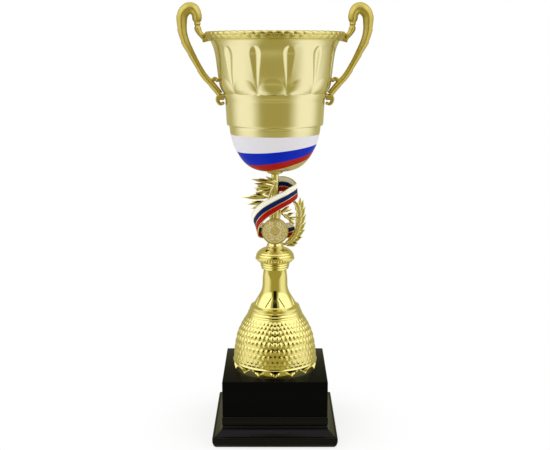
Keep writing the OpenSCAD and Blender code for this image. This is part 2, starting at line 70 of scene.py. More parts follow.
# Heights of the joints between the pieces, from the table up.
Z_PLINTH = high("plinth_block").z
Z_KNOB = high("column_bell").z
Z_FIGURE = high("column_knob").z
Z_COLLAR = low("collar").z
Z_LOWER = low("lower_cup").z
Z_BOWL = high("lower_cup").z
Z_RIM = low("rim_band").z
Z_TOP = high("rim_band").z
RIM_R = high("rim_band").y
LOWER_R = high("lower_cup").x + 0.2
STEP_R = LOWER_R + 5.1
BAND_H = 35.5
Z_STEP = Z_BOWL + BAND_H


# ------------------------------------------------------------ small tools ----


def clamp(x, lo=0.0, hi=1.0):
    return max(lo, min(hi, x))


def ease(a, b, x):
    """0 before a, 1 after b, and smooth between."""
    t = clamp((x - a) / (b - a))
    return t * t * (3 - 2 * t)


def bezier(a, b, c, d, n):
    """n + 1 points of a cubic curve."""
    a, b, c, d = (Vector(p) for p in (a, b, c, d))
    rows = []
    for i in range(n + 1):
        t = i / n
        u = 1 - t
        rows.append(u**3 * a + 3 * u * u * t * b + 3 * u * t * t * c + t**3 * d)
    return rows


def smooth(points, k):
    """A smooth curve through the points, k steps to a span."""
    pts = [Vector(p) for p in points]
    n = len(pts) - 1
    rows = []
    for i in range(n):
        a, b, c, d = pts[max(i - 1, 0)], pts[i], pts[i + 1], pts[min(i + 2, n)]
        for j in range(k):
            t = j / k
            bend = 2 * a - 5 * b + 4 * c - d
            twist = 3 * b - a - 3 * c + d
            rows.append(0.5 * (2 * b + (c - a) * t + bend * t * t + twist * t**3))
    rows.append(pts[n])
    return rows


def bump(x, centre, half):
    """A round rise of height 1 at the centre, 0 beyond half either side."""
    t = abs(x - centre) / half
    return 0.0 if t >= 1 else (1 - t * t) ** 2


def outline(lift, *pairs):
    """Points of a turned outline, each (radius, height), all lifted by the same height."""
    return [Vector((r, z + lift)) for r, z in pairs]


def linear(hex_code):
    """An sRGB hex colour as linear RGBA."""
    values = [int(hex_code[i : i + 2], 16) / 255 for i in (1, 3, 5)]
    return [v / 12.92 if v <= 0.04045 else ((v + 0.055) / 1.055) ** 2.4 for v in values] + [1.0]


# ------------------------------------------------------------- mesh tools ----


def lathe(profile, steps):
    """A closed turned shape: the profile is spun right round the upright axis."""
    bm = bmesh.new()
    verts = [bm.verts.new((p[0], 0, p[1])) for p in profile]
    edges = [bm.edges.new(pair) for pair in zip(verts, verts[1:])]
    bmesh.ops.spin(
        bm, geom=verts + edges, cent=(0, 0, 0), axis=(0, 0, 1), angle=2 * pi, steps=steps, use_merge=True
    )
    bmesh.ops.remove_doubles(bm, verts=bm.verts, dist=0.0005)
    bmesh.ops.recalc_face_normals(bm, faces=bm.faces)
    return bm


def azimuth(co):
    """Degrees round from the front, positive towards +X."""
    return degrees(atan2(co.x, -co.y))


def push(co, dr):
    """Moves a vertex out along its own radius."""
    r = hypot(co.x, co.y)
    if r > 1e-6:
        co.x *= 1 + dr / r
        co.y *= 1 + dr / r


def sweep(bm, stations, sides, section=None):
    """Extrudes a ring through the stations, each (centre, side vector, depth vector), and caps the ends.

    section(i, angle) gives how far the ring reaches along the side and the depth vector.
    """
    section = section or (lambda i, a: (cos(a), sin(a)))
    made = bmesh.ops.create_circle(bm, segments=sides, radius=1)
    ring = made["verts"]
    edges = [e for e in bm.edges if e.verts[0] in ring and e.verts[1] in ring]
    first = list(edges)
    for i, (centre, side, depth) in enumerate(stations):
        if i:
            out = bmesh.ops.extrude_edge_only(bm, edges=edges)["geom"]
            edges = [g for g in out if isinstance(g, bmesh.types.BMEdge)]
            after = [g for g in out if isinstance(g, bmesh.types.BMVert)]
            # The new ring is matched to the old one by place before it moves.
            ring = [min(after, key=lambda v: (v.co - old.co).length_squared) for old in ring]
        for k, v in enumerate(ring):
            a, b = section(i, 2 * pi * k / sides)
            v.co = centre + side * a + depth * b
    bmesh.ops.holes_fill(bm, edges=first + edges, sides=0)
    return bm


def piece(bm, name, material, slot, *nodes, sharp=38):
    """Turns a mesh in millimetres into a finished piece that stands for the CAD nodes."""
    bmesh.ops.remove_doubles(bm, verts=bm.verts, dist=0.0005)
    bmesh.ops.recalc_face_normals(bm, faces=bm.faces)
    bmesh.ops.scale(bm, vec=(MM, MM, MM), verts=bm.verts)
    mesh = bpy.data.meshes.new(name)
    bm.to_mesh(mesh)
    bm.free()
    mesh.shade_smooth()
    mesh.set_sharp_from_angle(angle=radians(sharp))
    mesh.materials.append(material)
    obj = bpy.data.objects.new(name, mesh)
    bpy.context.scene.collection.objects.link(obj)
    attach(obj, "root")
    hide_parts(*nodes)
    return obj


def finish_cad(material, *nodes):
    """Gives CAD nodes that stay as they are a better material."""
    for n in nodes:
        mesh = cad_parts[n].data
        mesh.materials.clear()
        mesh.materials.append(material)


# ---------------------------------------------------------- material tools ----


def new_material(name):
    """A material with no nodes at all; the caller adds each node, the output too."""
    material = bpy.data.materials.new(name)
    material.use_nodes = True
    material.node_tree.nodes.clear()
    return material


def add(tree, kind, inputs=(), **settings):
    """Adds a node; inputs maps a socket to a value or to another node's socket."""
    made = tree.nodes.new(kind)
    for name, value in settings.items():
        setattr(made, name, value)
    for key, value in dict(inputs).items():
        if isinstance(value, bpy.types.NodeSocket):
            tree.links.new(value, made.inputs[key])
        else:
            made.inputs[key].default_value = value
    return made


def worn_metal(name, colour, roughness, spread, grain, coat=0.0, coat_roughness=0.1):
    """Metal whose gloss drifts a little from place to place; grain is the drift's size in millimetres."""
    material = new_material(name)
    tree = material.node_tree
    place = add(tree, "ShaderNodeTexCoord").outputs["Object"]
    drift = add(tree, "ShaderNodeTexNoise", {"Vector": place, "Scale": 1 / (grain * MM), "Detail": 3.0})
    gloss = add(
        tree,
        "ShaderNodeMapRange",
        {"Value": drift.outputs[0], 1: 0.3, 2: 0.7, 3: roughness - spread, 4: roughness + spread},
    )
    shader = add(
        tree,
        "ShaderNodeBsdfPrincipled",
        {
            "Base Color": linear(colour),
            "Metallic": 1.0,
            "Roughness": gloss.outputs[0],
            "Coat Weight": coat,
            "Coat Roughness": coat_roughness,
        },
    )
    add(tree, "ShaderNodeOutputMaterial", {"Surface": shader.outputs[0]})
    return material


# -------------------------------------------------------------------- bowl ----


class BowlSettings(bpy.types.PropertyGroup):
    panels: bpy.props.IntProperty(name="Panels", description="Number of pressed panels", default=12)
    turn: bpy.props.FloatProperty(
        name="Turn", description="Turn of the panels from the front", default=radians(-3), subtype="ANGLE"
    )
    press: bpy.props.FloatProperty(
        name="Press", description="How deep the panels are pressed in", default=0.25 * MM, unit="LENGTH"
    )
    dome: bpy.props.FloatProperty(
        name="Dome", description="How far a panel's half dome stands out", default=1.1 * MM, unit="LENGTH"
    )
    gold: bpy.props.StringProperty(name="Gold", description="Lacquered gold, sRGB hex", default="#e8dfa8")


# The pressed wall, in millimetres over the step: the hollow teardrops between the panels, the arched
# tops of the panels, and the half domes at their feet.
TEAR_HALF = 6.6
TEAR_FOOT = 5
TEAR_WIDEST = 38
TEAR_ROUND = 7.5
TEAR_DEPTH = 0.27
ARCH_ROUND = 10.5
DOME_HALF = 12.8
DOME_FOOT = 3.5
DOME_HIGH = 11.5
WALL_TOP = 49


def panel_relief(x, h, half, press, dome):
    """Radial relief at x mm from a panel's middle and h mm over the step; half is the half pitch."""
    x = abs(x)
    relief = 0.0
    # The teardrop is round at the top and runs to a point at its foot.
    reach = TEAR_HALF * clamp((h - TEAR_FOOT) / (TEAR_WIDEST - TEAR_FOOT)) ** 0.85
    if h > TEAR_WIDEST:
        reach = TEAR_HALF * sqrt(clamp(1 - ((h - TEAR_WIDEST) / TEAR_ROUND) ** 2))
    t = (half - x) / reach if reach > 0.1 else 2.0
    if t < 1:
        relief -= TEAR_DEPTH * reach * cos(pi / 2 * t) ** 2
    # The panel itself is barely hollow.
    floor = half - 0.8 * reach
    arch = floor * sqrt(clamp(1 - (max(h - TEAR_WIDEST, 0) / ARCH_ROUND) ** 2))
    if arch > 0.5 and x < arch:
        relief -= press * (1 - (x / arch) ** 4) * ease(12, 24, h) * (1 - ease(44, 48.5, h))
    q = (x / DOME_HALF) ** 2 + (max(h - DOME_FOOT, 0) / DOME_HIGH) ** 2
    if q < 1:
        relief += dome * (1 - q) ** 0.8 * (0.55 + 0.45 * ease(0, 4, h))
    return relief


def bowl_profile():
    """Outer and inner line of the bowl, from the hub out, up to the lip and back."""
    floor = low("cup_bowl").z
    spigot = LOWER_R - 3.4
    dish = bezier((14, floor), (30, floor), (spigot - 1, floor + 6), (spigot, Z_BOWL - 5), 14)
    outer = [Vector((0, floor))] + dish
    outer += outline(Z_BOWL, (spigot, 0), (LOWER_R - 0.3, 0))
    # The bead that laps over the lower cup.
    bead = outline(Z_BOWL, (LOWER_R - 0.2, 0), (LOWER_R - 0.2, 1.2), (LOWER_R + 0.1, 2.6), (LOWER_R + 0.3, 3))
    outer += bezier(*bead, 4)
    bead = outline(Z_BOWL, (LOWER_R + 1.2, 3), (LOWER_R + 2.3, 3.2), (LOWER_R + 2.6, 4), (LOWER_R + 2.7, 5.4))
    outer += bezier(*bead, 6)
    # The plain band, with a wide chamfer along its upper edge.
    rest = LOWER_R + 2.7
    steps = 18
    for i in range(1, steps + 1):
        t = i / steps
        outer.append(Vector((rest + (STEP_R - 1.2 - rest) * t, Z_BOWL + 5.4 + (BAND_H - 12.8) * t)))
    outer += outline(Z_STEP, (STEP_R - 0.9, -6.4), (STEP_R + 0.3, -0.9), (STEP_R + 0.2, -0.3))
    seam = RIM_R - 5.6
    wall = bezier((STEP_R, Z_STEP), (STEP_R + 9.7, Z_STEP + 15), (seam - 8.4, Z_RIM - 15), (seam, Z_RIM), 72)
    lip = outline(Z_TOP, (seam + 2, -2), (seam + 1, -2))
    inner = [p - Vector((1, 0)) for p in reversed(wall[::3])]
    inner += [Vector((STEP_R - 1.2, Z_STEP - 3))]
    inner += outline(Z_BOWL, (LOWER_R + 1.7, 5), (LOWER_R - 0.8, 2))
    inner += [p + Vector((-0.8, 0.8)) for p in reversed(dish)]
    inner.append(Vector((0, floor + 1)))
    return outer + wall + lip + inner


class CUP_OT_bowl(bpy.types.Operator):
    """Drawn bowl with pressed panels"""

    bl_idname = "presentation_cup.bowl"
    bl_label = "Bowl"

    def execute(self, context):
        s = context.scene.cup_bowl_settings
        bm = lathe(bowl_profile(), s.panels * 32)
        pitch = 360 / s.panels
        for v in bm.verts:
            h = v.co.z - Z_STEP
            r = hypot(v.co.x, v.co.y)
            if h < -0.05 or h > WALL_TOP or r < STEP_R - 3:
                continue
            a = (azimuth(v.co) - degrees(s.turn) + pitch / 2) % pitch - pitch / 2
            half = r * pi / s.panels
            push(v.co, panel_relief(radians(a) * r, h, half, s.press / MM, s.dome / MM))
        piece(bm, "fluted_bowl", lacquered_gold(s.gold), "bowl_gold", "cup_bowl", sharp=32)
        return {"FINISHED"}


def lacquered_gold(colour):
    """Drawn steel, brass plated and lacquered: reflections with soft edges and a faint drawing haze."""
    return worn_metal("lacquered_gold_drawn_steel", colour, 0.2, 0.03, 9, coat=0.35, coat_roughness=0.12)


# --------------------------------------------------------------------- rim ----


class RimSettings(bpy.types.PropertyGroup):
    lobes: bpy.props.IntProperty(name="Lobes", description="Number of lobes round the rim", default=48)
    gold: bpy.props.StringProperty(name="Gold", description="Cast gold, sRGB hex", default="#d6c97c")


def cast_gold(name, colour, roughness):
    """Die cast zinc, gold plated: rougher than the bowl, with polish that drifts unevenly from place to
    place.
    """
    return worn_metal(name, colour, roughness, 0.06, 4)


class CUP_OT_rim(bpy.types.Operator):
    """Cast rim band with slanting gadroon lobes"""

    bl_idname = "presentation_cup.rim"
    bl_label = "Rim"

    def execute(self, context):
        s = context.scene.cup_rim_settings
        hem = RIM_R - 5.6
        crown = Vector((RIM_R, Z_RIM + 6))
        profile = outline(Z_RIM, (RIM_R - 5.2, 0.4), (RIM_R - 3.6, 0))
        profile += bezier((RIM_R - 2.9, Z_RIM), (RIM_R - 1.8, Z_RIM + 1.6), (RIM_R, Z_RIM + 3.5), crown, 14)
        profile += bezier(crown, (RIM_R, Z_RIM + 8), (RIM_R - 0.8, Z_TOP), (RIM_R - 2.2, Z_TOP), 8)
        top = outline(Z_TOP, (RIM_R - 2.2, 0), (RIM_R - 3.6, 0), (RIM_R - 4.4, -0.3), (hem, -1))
        profile += bezier(*top, 5)
        profile += outline(Z_TOP, (hem - 0.2, -3.4), (hem + 0.6, -3.4), (RIM_R - 4.4, -2), (RIM_R - 3.4, -2))
        profile += outline(Z_RIM, (RIM_R - 5.2, 0.4))
        bm = lathe(profile, s.lobes * 12)
        for v in bm.verts:
            t = clamp((v.co.z - Z_RIM) / (Z_TOP - Z_RIM))
            if hypot(v.co.x, v.co.y) < RIM_R - 4.6 or v.co.z < Z_RIM + 0.9:
                continue
            turn = azimuth(v.co) * s.lobes / 360
            # Leaning beads along the crest, and a row of small lumps below, set between them.
            crest = ease(0.52, 0.66, t)
            lean = turn + 0.3 * (t - 0.6)
            valley = 1 - sqrt(clamp(1 - abs((lean % 1) * 2 - 1) ** 2.2))
            push(v.co, -0.9 * valley * crest)
            v.co.z -= 0.8 * valley * ease(0.72, 1.0, t)
            gap = abs(((turn + 0.5) % 1) * 2 - 1) ** 1.6
            push(v.co, -0.4 * gap * ease(0.18, 0.3, t) * (1 - crest))
            # A groove between the two rows, and one under the lower row.
            push(v.co, -0.5 * bump(t, 0.55, 0.07) - 0.4 * bump(t, 0.16, 0.05))
        gold = cast_gold("plated_gold_die_cast", s.gold, 0.26)
        piece(bm, "gadroon_rim", gold, "bowl_gold", "rim_band", sharp=50)
        return {"FINISHED"}


# --------------------------------------------------------------- lower cup ----


class LowerCupSettings(bpy.types.PropertyGroup):
    white: bpy.props.StringProperty(name="White", description="White stripe, sRGB hex", default="#e6e4e8")
    blue: bpy.props.StringProperty(name="Blue", description="Blue stripe, sRGB hex", default="#0424b4")
    red: bpy.props.StringProperty(name="Red", description="Red stripe, sRGB hex", default="#a8180f")
    gold: bpy.props.StringProperty(name="Gold", description="Bare gold, sRGB hex", default="#e8dfa8")


def striped_enamel(s):
    """Moulded cup, plated gold and sprayed in three low-gloss stripes whose edges climb to one side."""
    material = new_material("sprayed_enamel_stripes")
    tree = material.node_tree
    place = add(tree, "ShaderNodeTexCoord").outputs["Object"]
    axes = add(tree, "ShaderNodeSeparateXYZ", {0: place})
    x, y, z = axes.outputs
    flat = add(tree, "ShaderNodeCombineXYZ", {0: x, 1: y})
    radius = add(tree, "ShaderNodeVectorMath", {0: flat.outputs[0]}, operation="LENGTH")
    side = add(tree, "ShaderNodeMath", {0: x, 1: radius.outputs["Value"]}, operation="DIVIDE")
    square = add(tree, "ShaderNodeMath", {0: side.outputs[0], 1: side.outputs[0]}, operation="MULTIPLY")
    colour, metal = linear(s.gold), 1.0
    # Each edge: height in mm over the foot of the cup, its climb and its bow to the side, its paint.
    edges = [
        (3.6, 6.03, 4.33, s.red),
        (11.3, 6.2, 2.6, s.blue),
        (22.8, 3.91, 1.52, s.white),
        (37.8, 0.0, 0.0, s.gold),
    ]
    for height, climb, bow, paint in edges:
        slant = {0: side.outputs[0], 1: climb * MM, 2: (Z_LOWER + height) * MM}
        slant = add(tree, "ShaderNodeMath", slant, operation="MULTIPLY_ADD").outputs[0]
        edge = {0: square.outputs[0], 1: bow * MM, 2: slant}
        edge = add(tree, "ShaderNodeMath", edge, operation="MULTIPLY_ADD").outputs[0]
        over = add(tree, "ShaderNodeMath", {0: z, 1: edge}, operation="SUBTRACT").outputs[0]
        mask = add(tree, "ShaderNodeMapRange", {"Value": over, 1: -0.12 * MM, 2: 0.12 * MM}).outputs[0]
        bare = 1.0 if paint == s.gold else 0.0
        tone = linear(paint)
        colour = add(tree, "ShaderNodeMix", {0: mask, 6: colour, 7: tone}, data_type="RGBA").outputs[2]
        metal = add(tree, "ShaderNodeMix", {0: mask, 2: metal, 3: bare}, data_type="FLOAT").outputs[0]
    peel = add(tree, "ShaderNodeTexNoise", {"Vector": place, "Scale": 1 / (1.6 * MM), "Detail": 2.0})
    dimple = add(
        tree, "ShaderNodeBump", {"Height": peel.outputs[0], "Strength": 0.12, "Distance": 0.05 * MM}
    )
    shader = add(
        tree,
        "ShaderNodeBsdfPrincipled",
        {
            "Base Color": colour,
            "Metallic": metal,
            "Roughness": 0.3,
            "Specular IOR Level": 0.04,
            "Coat Weight": 0.06,
            "Coat Roughness": 0.12,
            "Normal": dimple.outputs[0],
        },
    )
    add(tree, "ShaderNodeOutputMaterial", {"Surface": shader.outputs[0]})
    return material


class CUP_OT_lower_cup(bpy.types.Operator):
    """Painted lower cup"""

    bl_idname = "presentation_cup.lower_cup"
    bl_label = "Lower cup"

    def execute(self, context):
        s = context.scene.cup_lower_settings
        seat = LOWER_R - 4.5
        foot = outline(Z_LOWER, (10, 0), (30, 0.5), (LOWER_R - 9.7, 15), (seat, 25.6))
        side = outline(Z_LOWER, (seat, 25.6), (LOWER_R - 2.7, 31), (LOWER_R - 1.3, 36))
        curve = bezier(*foot, 40)
        rise = bezier(*side, (LOWER_R - 0.6, Z_BOWL - 3), 14)
        hole = 2.7
        outer = outline(Z_LOWER, (hole, 0)) + curve + rise[1:]
        mouth = outline(Z_BOWL, (LOWER_R - 0.25, 0), (LOWER_R - 3.2, 0), (LOWER_R - 3.2, -5))
        inner = [p + Vector((-1.6, 1.6)) for p in reversed(curve)]
        inner += outline(Z_LOWER, (hole, 1.6), (hole, 0))
        bm = lathe(outer + mouth + inner, 240)
        piece(bm, "striped_cup", striped_enamel(s), "stripe_paint", "lower_cup")
        return {"FINISHED"}


# ----------------------------------------------------------------- handles ----


class HandleSettings(bpy.types.PropertyGroup):
    channel: bpy.props.FloatProperty(
        name="Channel", description="Depth of the hollow along the face, as a share", default=0.05
    )
    gold: bpy.props.StringProperty(name="Gold", description="Cast gold, sRGB hex", default="#cdbb62")


# Centre line of a handle: distance out from the rim, height over it, half width, half depth.
HANDLE_LINE = [
    (-0.2, -9.8, 0.7, 1.2),
    (1.9, -5.2, 2.2, 3.0),
    (5.2, -0.6, 2.9, 3.6),
    (6.8, 3.2, 3.4, 4.0),
    (7.1, 7.3, 2.7, 3.5),
    (7.3, 12.0, 4.6, 4.6),
    (7.8, 17.2, 4.9, 5.0),
    (11.0, 22.0, 5.6, 5.2),
    (16.4, 22.4, 5.8, 5.2),
    (21.6, 17.0, 5.7, 5.0),
    (22.7, 8.5, 5.3, 4.8),
    (21.9, -1.0, 4.6, 4.5),
    (19.3, -10.0, 4.3, 4.3),
    (14.6, -19.5, 3.7, 4.0),
    (8.5, -31.0, 3.3, 3.8),
]


def stations(line):
    """Turns (x, z, half width, half depth) points into stations of a sweep in the XZ plane."""
    rows = []
    for i, p in enumerate(line):
        a, b = line[max(i - 1, 0)], line[min(i + 1, len(line) - 1)]
        along = Vector((b[0] - a[0], 0, b[1] - a[1])).normalized()
        rows.append((Vector((p[0], 0, p[1])), Vector((along.z, 0, -along.x)) * p[2], Vector((0, p[3], 0))))
    return rows


def handle_mesh(channel):
    """The cast scroll handle on the right, from the leaf under the rim to the curl below the boss."""
    bm = bmesh.new()
    boss_z = Z_STEP - 4
    boss_x = LOWER_R + 2.6 + (STEP_R - LOWER_R - 2.6) * (boss_z - Z_BOWL - 6) / (Z_STEP - Z_BOWL - 6)
    arm = [(p[0] + RIM_R, p[1] + Z_TOP, p[2], p[3]) for p in HANDLE_LINE]
    arm += [
        (boss_x + 20, boss_z + 20.5, 3.3, 3.7),
        (boss_x + 11, boss_z + 10.5, 3.4, 3.6),
        (boss_x + 4.4, boss_z + 2.5, 3.2, 3.5),
    ]
    fine = smooth(arm, 10)
    count = len(fine)
    # The collar's share of the way along the handle.
    collar = 4 / 17

    def relief(i, a):
        """A softly ridged section, with the leaf tips and the collar worked into it."""
        c, s = (f * abs(f) ** 0.3 for f in (cos(a), sin(a)))
        t = i / count
        # A shallow hollow runs down each face on both sides of the middle ridge.
        run = ease(0.28, 0.36, t) * (1 - ease(0.9, 0.97, t))
        deep = 1 - channel * exp(-(((abs(c) - 0.5) / 0.2) ** 2)) * run
        # Overlapping leaf tips step along the outer edge of the arm.
        leaf_tip = ((t * 13) % 1) * ease(0.5, 0.56, t) * (1 - ease(0.93, 0.97, t))
        wide = 1 - 0.14 * leaf_tip * clamp(-c * 2)
        # The collar between the bud and the leaf at the rim: a ring, and a pinch on each side of it.
        ring = 0.25 * bump(t, collar, 0.012)
        pinch = 0.12 * (bump(t, collar - 0.025, 0.014) + bump(t, collar + 0.025, 0.014))
        size = 1 + ring - pinch
        return c * wide * size, s * deep * size

    sweep(bm, stations(fine), 28, relief)
    curl_z = Z_STEP + 14
    curl = [
        (boss_x + 13.5, curl_z - 3.2, 2.0, 3.0),
        (boss_x + 10, curl_z - 0.4, 2.1, 3.0),
        (boss_x + 7.2, curl_z - 0.6, 1.5, 2.6),
    ]
    scroll = [
        (boss_x + 3.6, boss_z + 1.5, 2.4, 3.2),
        (boss_x + 6.4, boss_z - 0.6, 2.1, 3.0),
        (boss_x + 6.8, boss_z - 4.0, 1.9, 2.8),
        (boss_x + 4.8, boss_z - 7.0, 1.7, 2.6),
        (boss_x + 1.9, boss_z - 7.8, 1.1, 2.4),
    ]
    for line in (curl, scroll):
        fine = smooth(line, 8)
        n = len(fine)

        def taper(i, a):
            """Narrower towards the tip, with a dished face."""
            dish = 1 - 0.25 * exp(-((cos(a) / 0.45) ** 2))
            return cos(a) * (1 - 0.5 * ease(0.85, 1, i / n)), sin(a) * dish

        sweep(bm, stations(fine), 16, taper)
    # The rolled eye that ends each curl, and the rosette over the fixing at the rim.
    eyes = [
        (boss_x + 7.2, curl_z - 1.6, 2.0),
        (boss_x + 1.6, boss_z - 6.6, 1.7),
        (RIM_R + 1.9, Z_TOP - 3.8, 2.8),
    ]
    for x, z, r in eyes:
        made = bmesh.ops.create_uvsphere(bm, u_segments=20, v_segments=12, radius=1)["verts"]
        bmesh.ops.scale(bm, vec=(r, 3.0, r), verts=made)
        bmesh.ops.translate(bm, vec=(x, 0, z), verts=made)
    # The bosses that meet the bowl's band and the wall under the rim.
    lip_tilt = atan(2 / (Z_TOP - 2 - Z_RIM))
    band_tilt = atan((STEP_R - LOWER_R - 2) / 34)
    lip_z = Z_RIM + 2.47
    lip_x = RIM_R - 5.6 + 2 * 2.47 / (Z_TOP - 2 - Z_RIM)
    bosses = [(boss_x + 0.4, boss_z, band_tilt, 3.3, 7.0), (lip_x, lip_z, lip_tilt, 2.4, 7.5)]
    for x, z, tilt, r, length in bosses:
        made = bmesh.ops.create_cone(
            bm, cap_ends=True, segments=32, radius1=r, radius2=r * 0.86, depth=length
        )["verts"]
        bmesh.ops.translate(bm, vec=(0, 0, length / 2), verts=made)
        lay = Matrix.Rotation(pi / 2 + tilt, 3, "Y")
        bmesh.ops.rotate(bm, cent=(0, 0, 0), matrix=lay, verts=made)
        bmesh.ops.translate(bm, vec=(x, 0, z), verts=made)
    return bm


class CUP_OT_handles(bpy.types.Operator):
    """The pair of cast scroll handles"""

    bl_idname = "presentation_cup.handles"
    bl_label = "Handles"

    def execute(self, context):
        s = context.scene.cup_handle_settings
        gold = cast_gold("plated_gold_cast_scroll", s.gold, 0.46)
        for side, turn in (("right", 0.0), ("left", pi)):
            bm = handle_mesh(s.channel)
            bmesh.ops.rotate(bm, cent=(0, 0, 0), matrix=Matrix.Rotation(turn, 3, "Z"), verts=bm.verts)
            piece(bm, "scroll_handle_" + side, gold, "handle_gold", "handle_" + side, sharp=60)
        return {"FINISHED"}


# ------------------------------------------------------------------ figure ----


class FigureSettings(bpy.types.PropertyGroup):
    gold: bpy.props.StringProperty(name="Gold", description="Mirror gold, sRGB hex", default="#e4d893")
    medal: bpy.props.StringProperty(name="Medal", description="Satin medal, sRGB hex", default="#f6e8bc")
    white: bpy.props.StringProperty(name="White", description="White enamel, sRGB hex", default="#fffdee")
    blue: bpy.props.StringProperty(name="Blue", description="Blue enamel, sRGB hex", default="#061a58")
    red: bpy.props.StringProperty(name="Red", description="Red enamel, sRGB hex", default="#a80c0c")


def mirror_gold(colour, name="vacuum_metallised_gold"):
    """Vacuum metallised moulding under clear lacquer: a near mirror with faint flow waves."""
    return worn_metal(name, colour, 0.085, 0.025, 14, coat=0.3, coat_roughness=0.05)


def leaf(bm, at, turn, lean, length, width, thick=1.7):
    """One laurel leaf: a pointed blade with a raised midrib, bowed forward along its length."""
    made = bmesh.ops.create_uvsphere(bm, u_segments=14, v_segments=12, radius=1)["verts"]
    bmesh.ops.rotate(bm, cent=(0, 0, 0), matrix=Matrix.Rotation(pi / 2, 3, "Y"), verts=made)
    for v in made:
        t = (v.co.x + 1) / 2
        reach = sin(pi * clamp(t) ** 0.8) ** 0.75 if 0 < t < 1 else 0.0
        ring = sqrt(clamp(1 - v.co.x**2)) or 1.0
        across, up = v.co.y / ring, v.co.z / ring
        rib = (1 - abs(across)) ** 0.9
        face = 1 if up > 0 else -1 if up < 0 else 0
        z = face * thick / 2 * rib * (0.35 + 0.65 * reach) if reach > 0 else 0.0
        # Two grooves beside the midrib.
        z *= 1 - 0.45 * bump(abs(across), 0.45, 0.25)
        v.co = Vector((t * length, across * reach * width / 2, z + 0.06 * length * sin(pi * t)))
    stand = Matrix.Rotation(pi / 2, 3, "X")
    aim = Matrix.Rotation(radians(turn), 3, "Z") @ Matrix.Rotation(radians(lean), 3, "Y")
    bmesh.ops.rotate(bm, cent=(0, 0, 0), matrix=stand @ aim, verts=made)
    bmesh.ops.translate(bm, vec=at, verts=made)


def twig(bm, line, r):
    """A round twig through the points, thinner towards its end."""
    rows = []
    n = len(line) - 1
    for i, p in enumerate(line):
        along = (line[min(i + 1, n)] - line[max(i - 1, 0)]).normalized()
        side = Vector((0, 1, 0)).cross(along).normalized()
        here = r * (1 - 0.35 * i / n)
        rows.append((p + Vector((0, 0, Z_FIGURE)), side * here, along.cross(side) * here))
    sweep(bm, rows, 12)


def spray(bm, line, specs):
    """Leaves on a twig: (step along it, turn, lean, length, width)."""
    for step, turn, lean, length, width in specs:
        leaf(bm, line[step] + Vector((0, 0, Z_FIGURE)), turn, lean, length, width)


class CUP_OT_laurels(bpy.types.Operator):
    """The two laurel sprays of the figure"""

    bl_idname = "presentation_cup.laurels"
    bl_label = "Laurels"

    def execute(self, context):
        gold = mirror_gold(context.scene.cup_figure_settings.gold)
        bm = bmesh.new()
        line = smooth([(1.5, -4.6, 69), (-2, -6, 64), (-5, -6.5, 57), (-8, -5, 50), (-9, -3, 46)], 3)
        twig(bm, line, 1.6)
        spray(
            bm,
            line,
            [
                (0, 172, 0, 26, 4.2),
                (0, 150, 6, 13, 3.4),
                (1, 161, 6, 18, 3.8),
                (1, 180, 14, 20, 3.4),
                (2, 172, -8, 21, 3.8),
                (3, 180, 2, 20, 3.8),
                (4, 189, 6, 18, 3.8),
                (5, 201, 8, 15, 3.6),
                (7, 170, -4, 17, 3.8),
                (7, 181, 4, 28, 4.4),
                (9, 188, -2, 21, 4.0),
                (10, 176, 10, 16, 3.4),
                (11, 197, 4, 17, 3.8),
                (12, 214, 0, 12, 3.6),
            ],
        )
        piece(bm, "laurel_spray_left", gold, "plated_gold", "laurel_left", sharp=50)
        bm = bmesh.new()
        bow = [(5.5, 0, 4), (13, -1, 5), (20, -2, 11), (24.5, -3, 20)]
        bow += [(26.2, -3.5, 31), (25.8, -4, 41), (24.3, -4, 46)]
        line = smooth(bow, 3)
        twig(bm, line, 1.5)
        specs = []
        for i in range(2, 17):
            way = line[i + 1] - line[i]
            turn = degrees(atan2(way.z, way.x))
            specs += [(i, turn + side * (22 + 6 * (i % 2)), side * 9, 11.5, 3.7) for side in (-1, 1)]
        spray(bm, line, specs)
        # The short inner twig, and the bar that ties the bow to it.
        line = smooth([(4.2, -1, 40), (8, -3, 36), (14, -4, 31)], 3)
        twig(bm, line, 1.3)
        inner = [
            (1, 8, 8, 13, 3.6),
            (2, 40, 4, 11, 3.8),
            (3, -32, 4, 10, 3.8),
            (4, 20, 4, 11, 3.6),
            (5, -10, 6, 10, 3.4),
            (6, -38, 4, 8, 3.4),
        ]
        spray(bm, line, inner)
        twig(bm, smooth([(12, -3.6, 32), (19, -3.6, 33), (25.8, -3.4, 33)], 4), 1)
        piece(bm, "laurel_spray_right", gold, "plated_gold", "laurel_right", sharp=50)
        return {"FINISHED"}


# Centre line of the ribbon over the knob: x, y, height.
RIBBON_LINE = [
    (-19, 4, 56),
    (-10, 9.5, 61),
    (8, 9.5, 66),
    (22, 1, 61.5),
    (14.5, -9, 56),
    (0, -12.5, 48.5),
    (-12.5, -12.8, 40.5),
    (-19.6, -7.5, 30.5),
    (-18, 2, 20),
    (-8, 9.5, 16),
    (8, 10, 16),
    (20, 4, 19),
]
RIBBON_HALF = 8


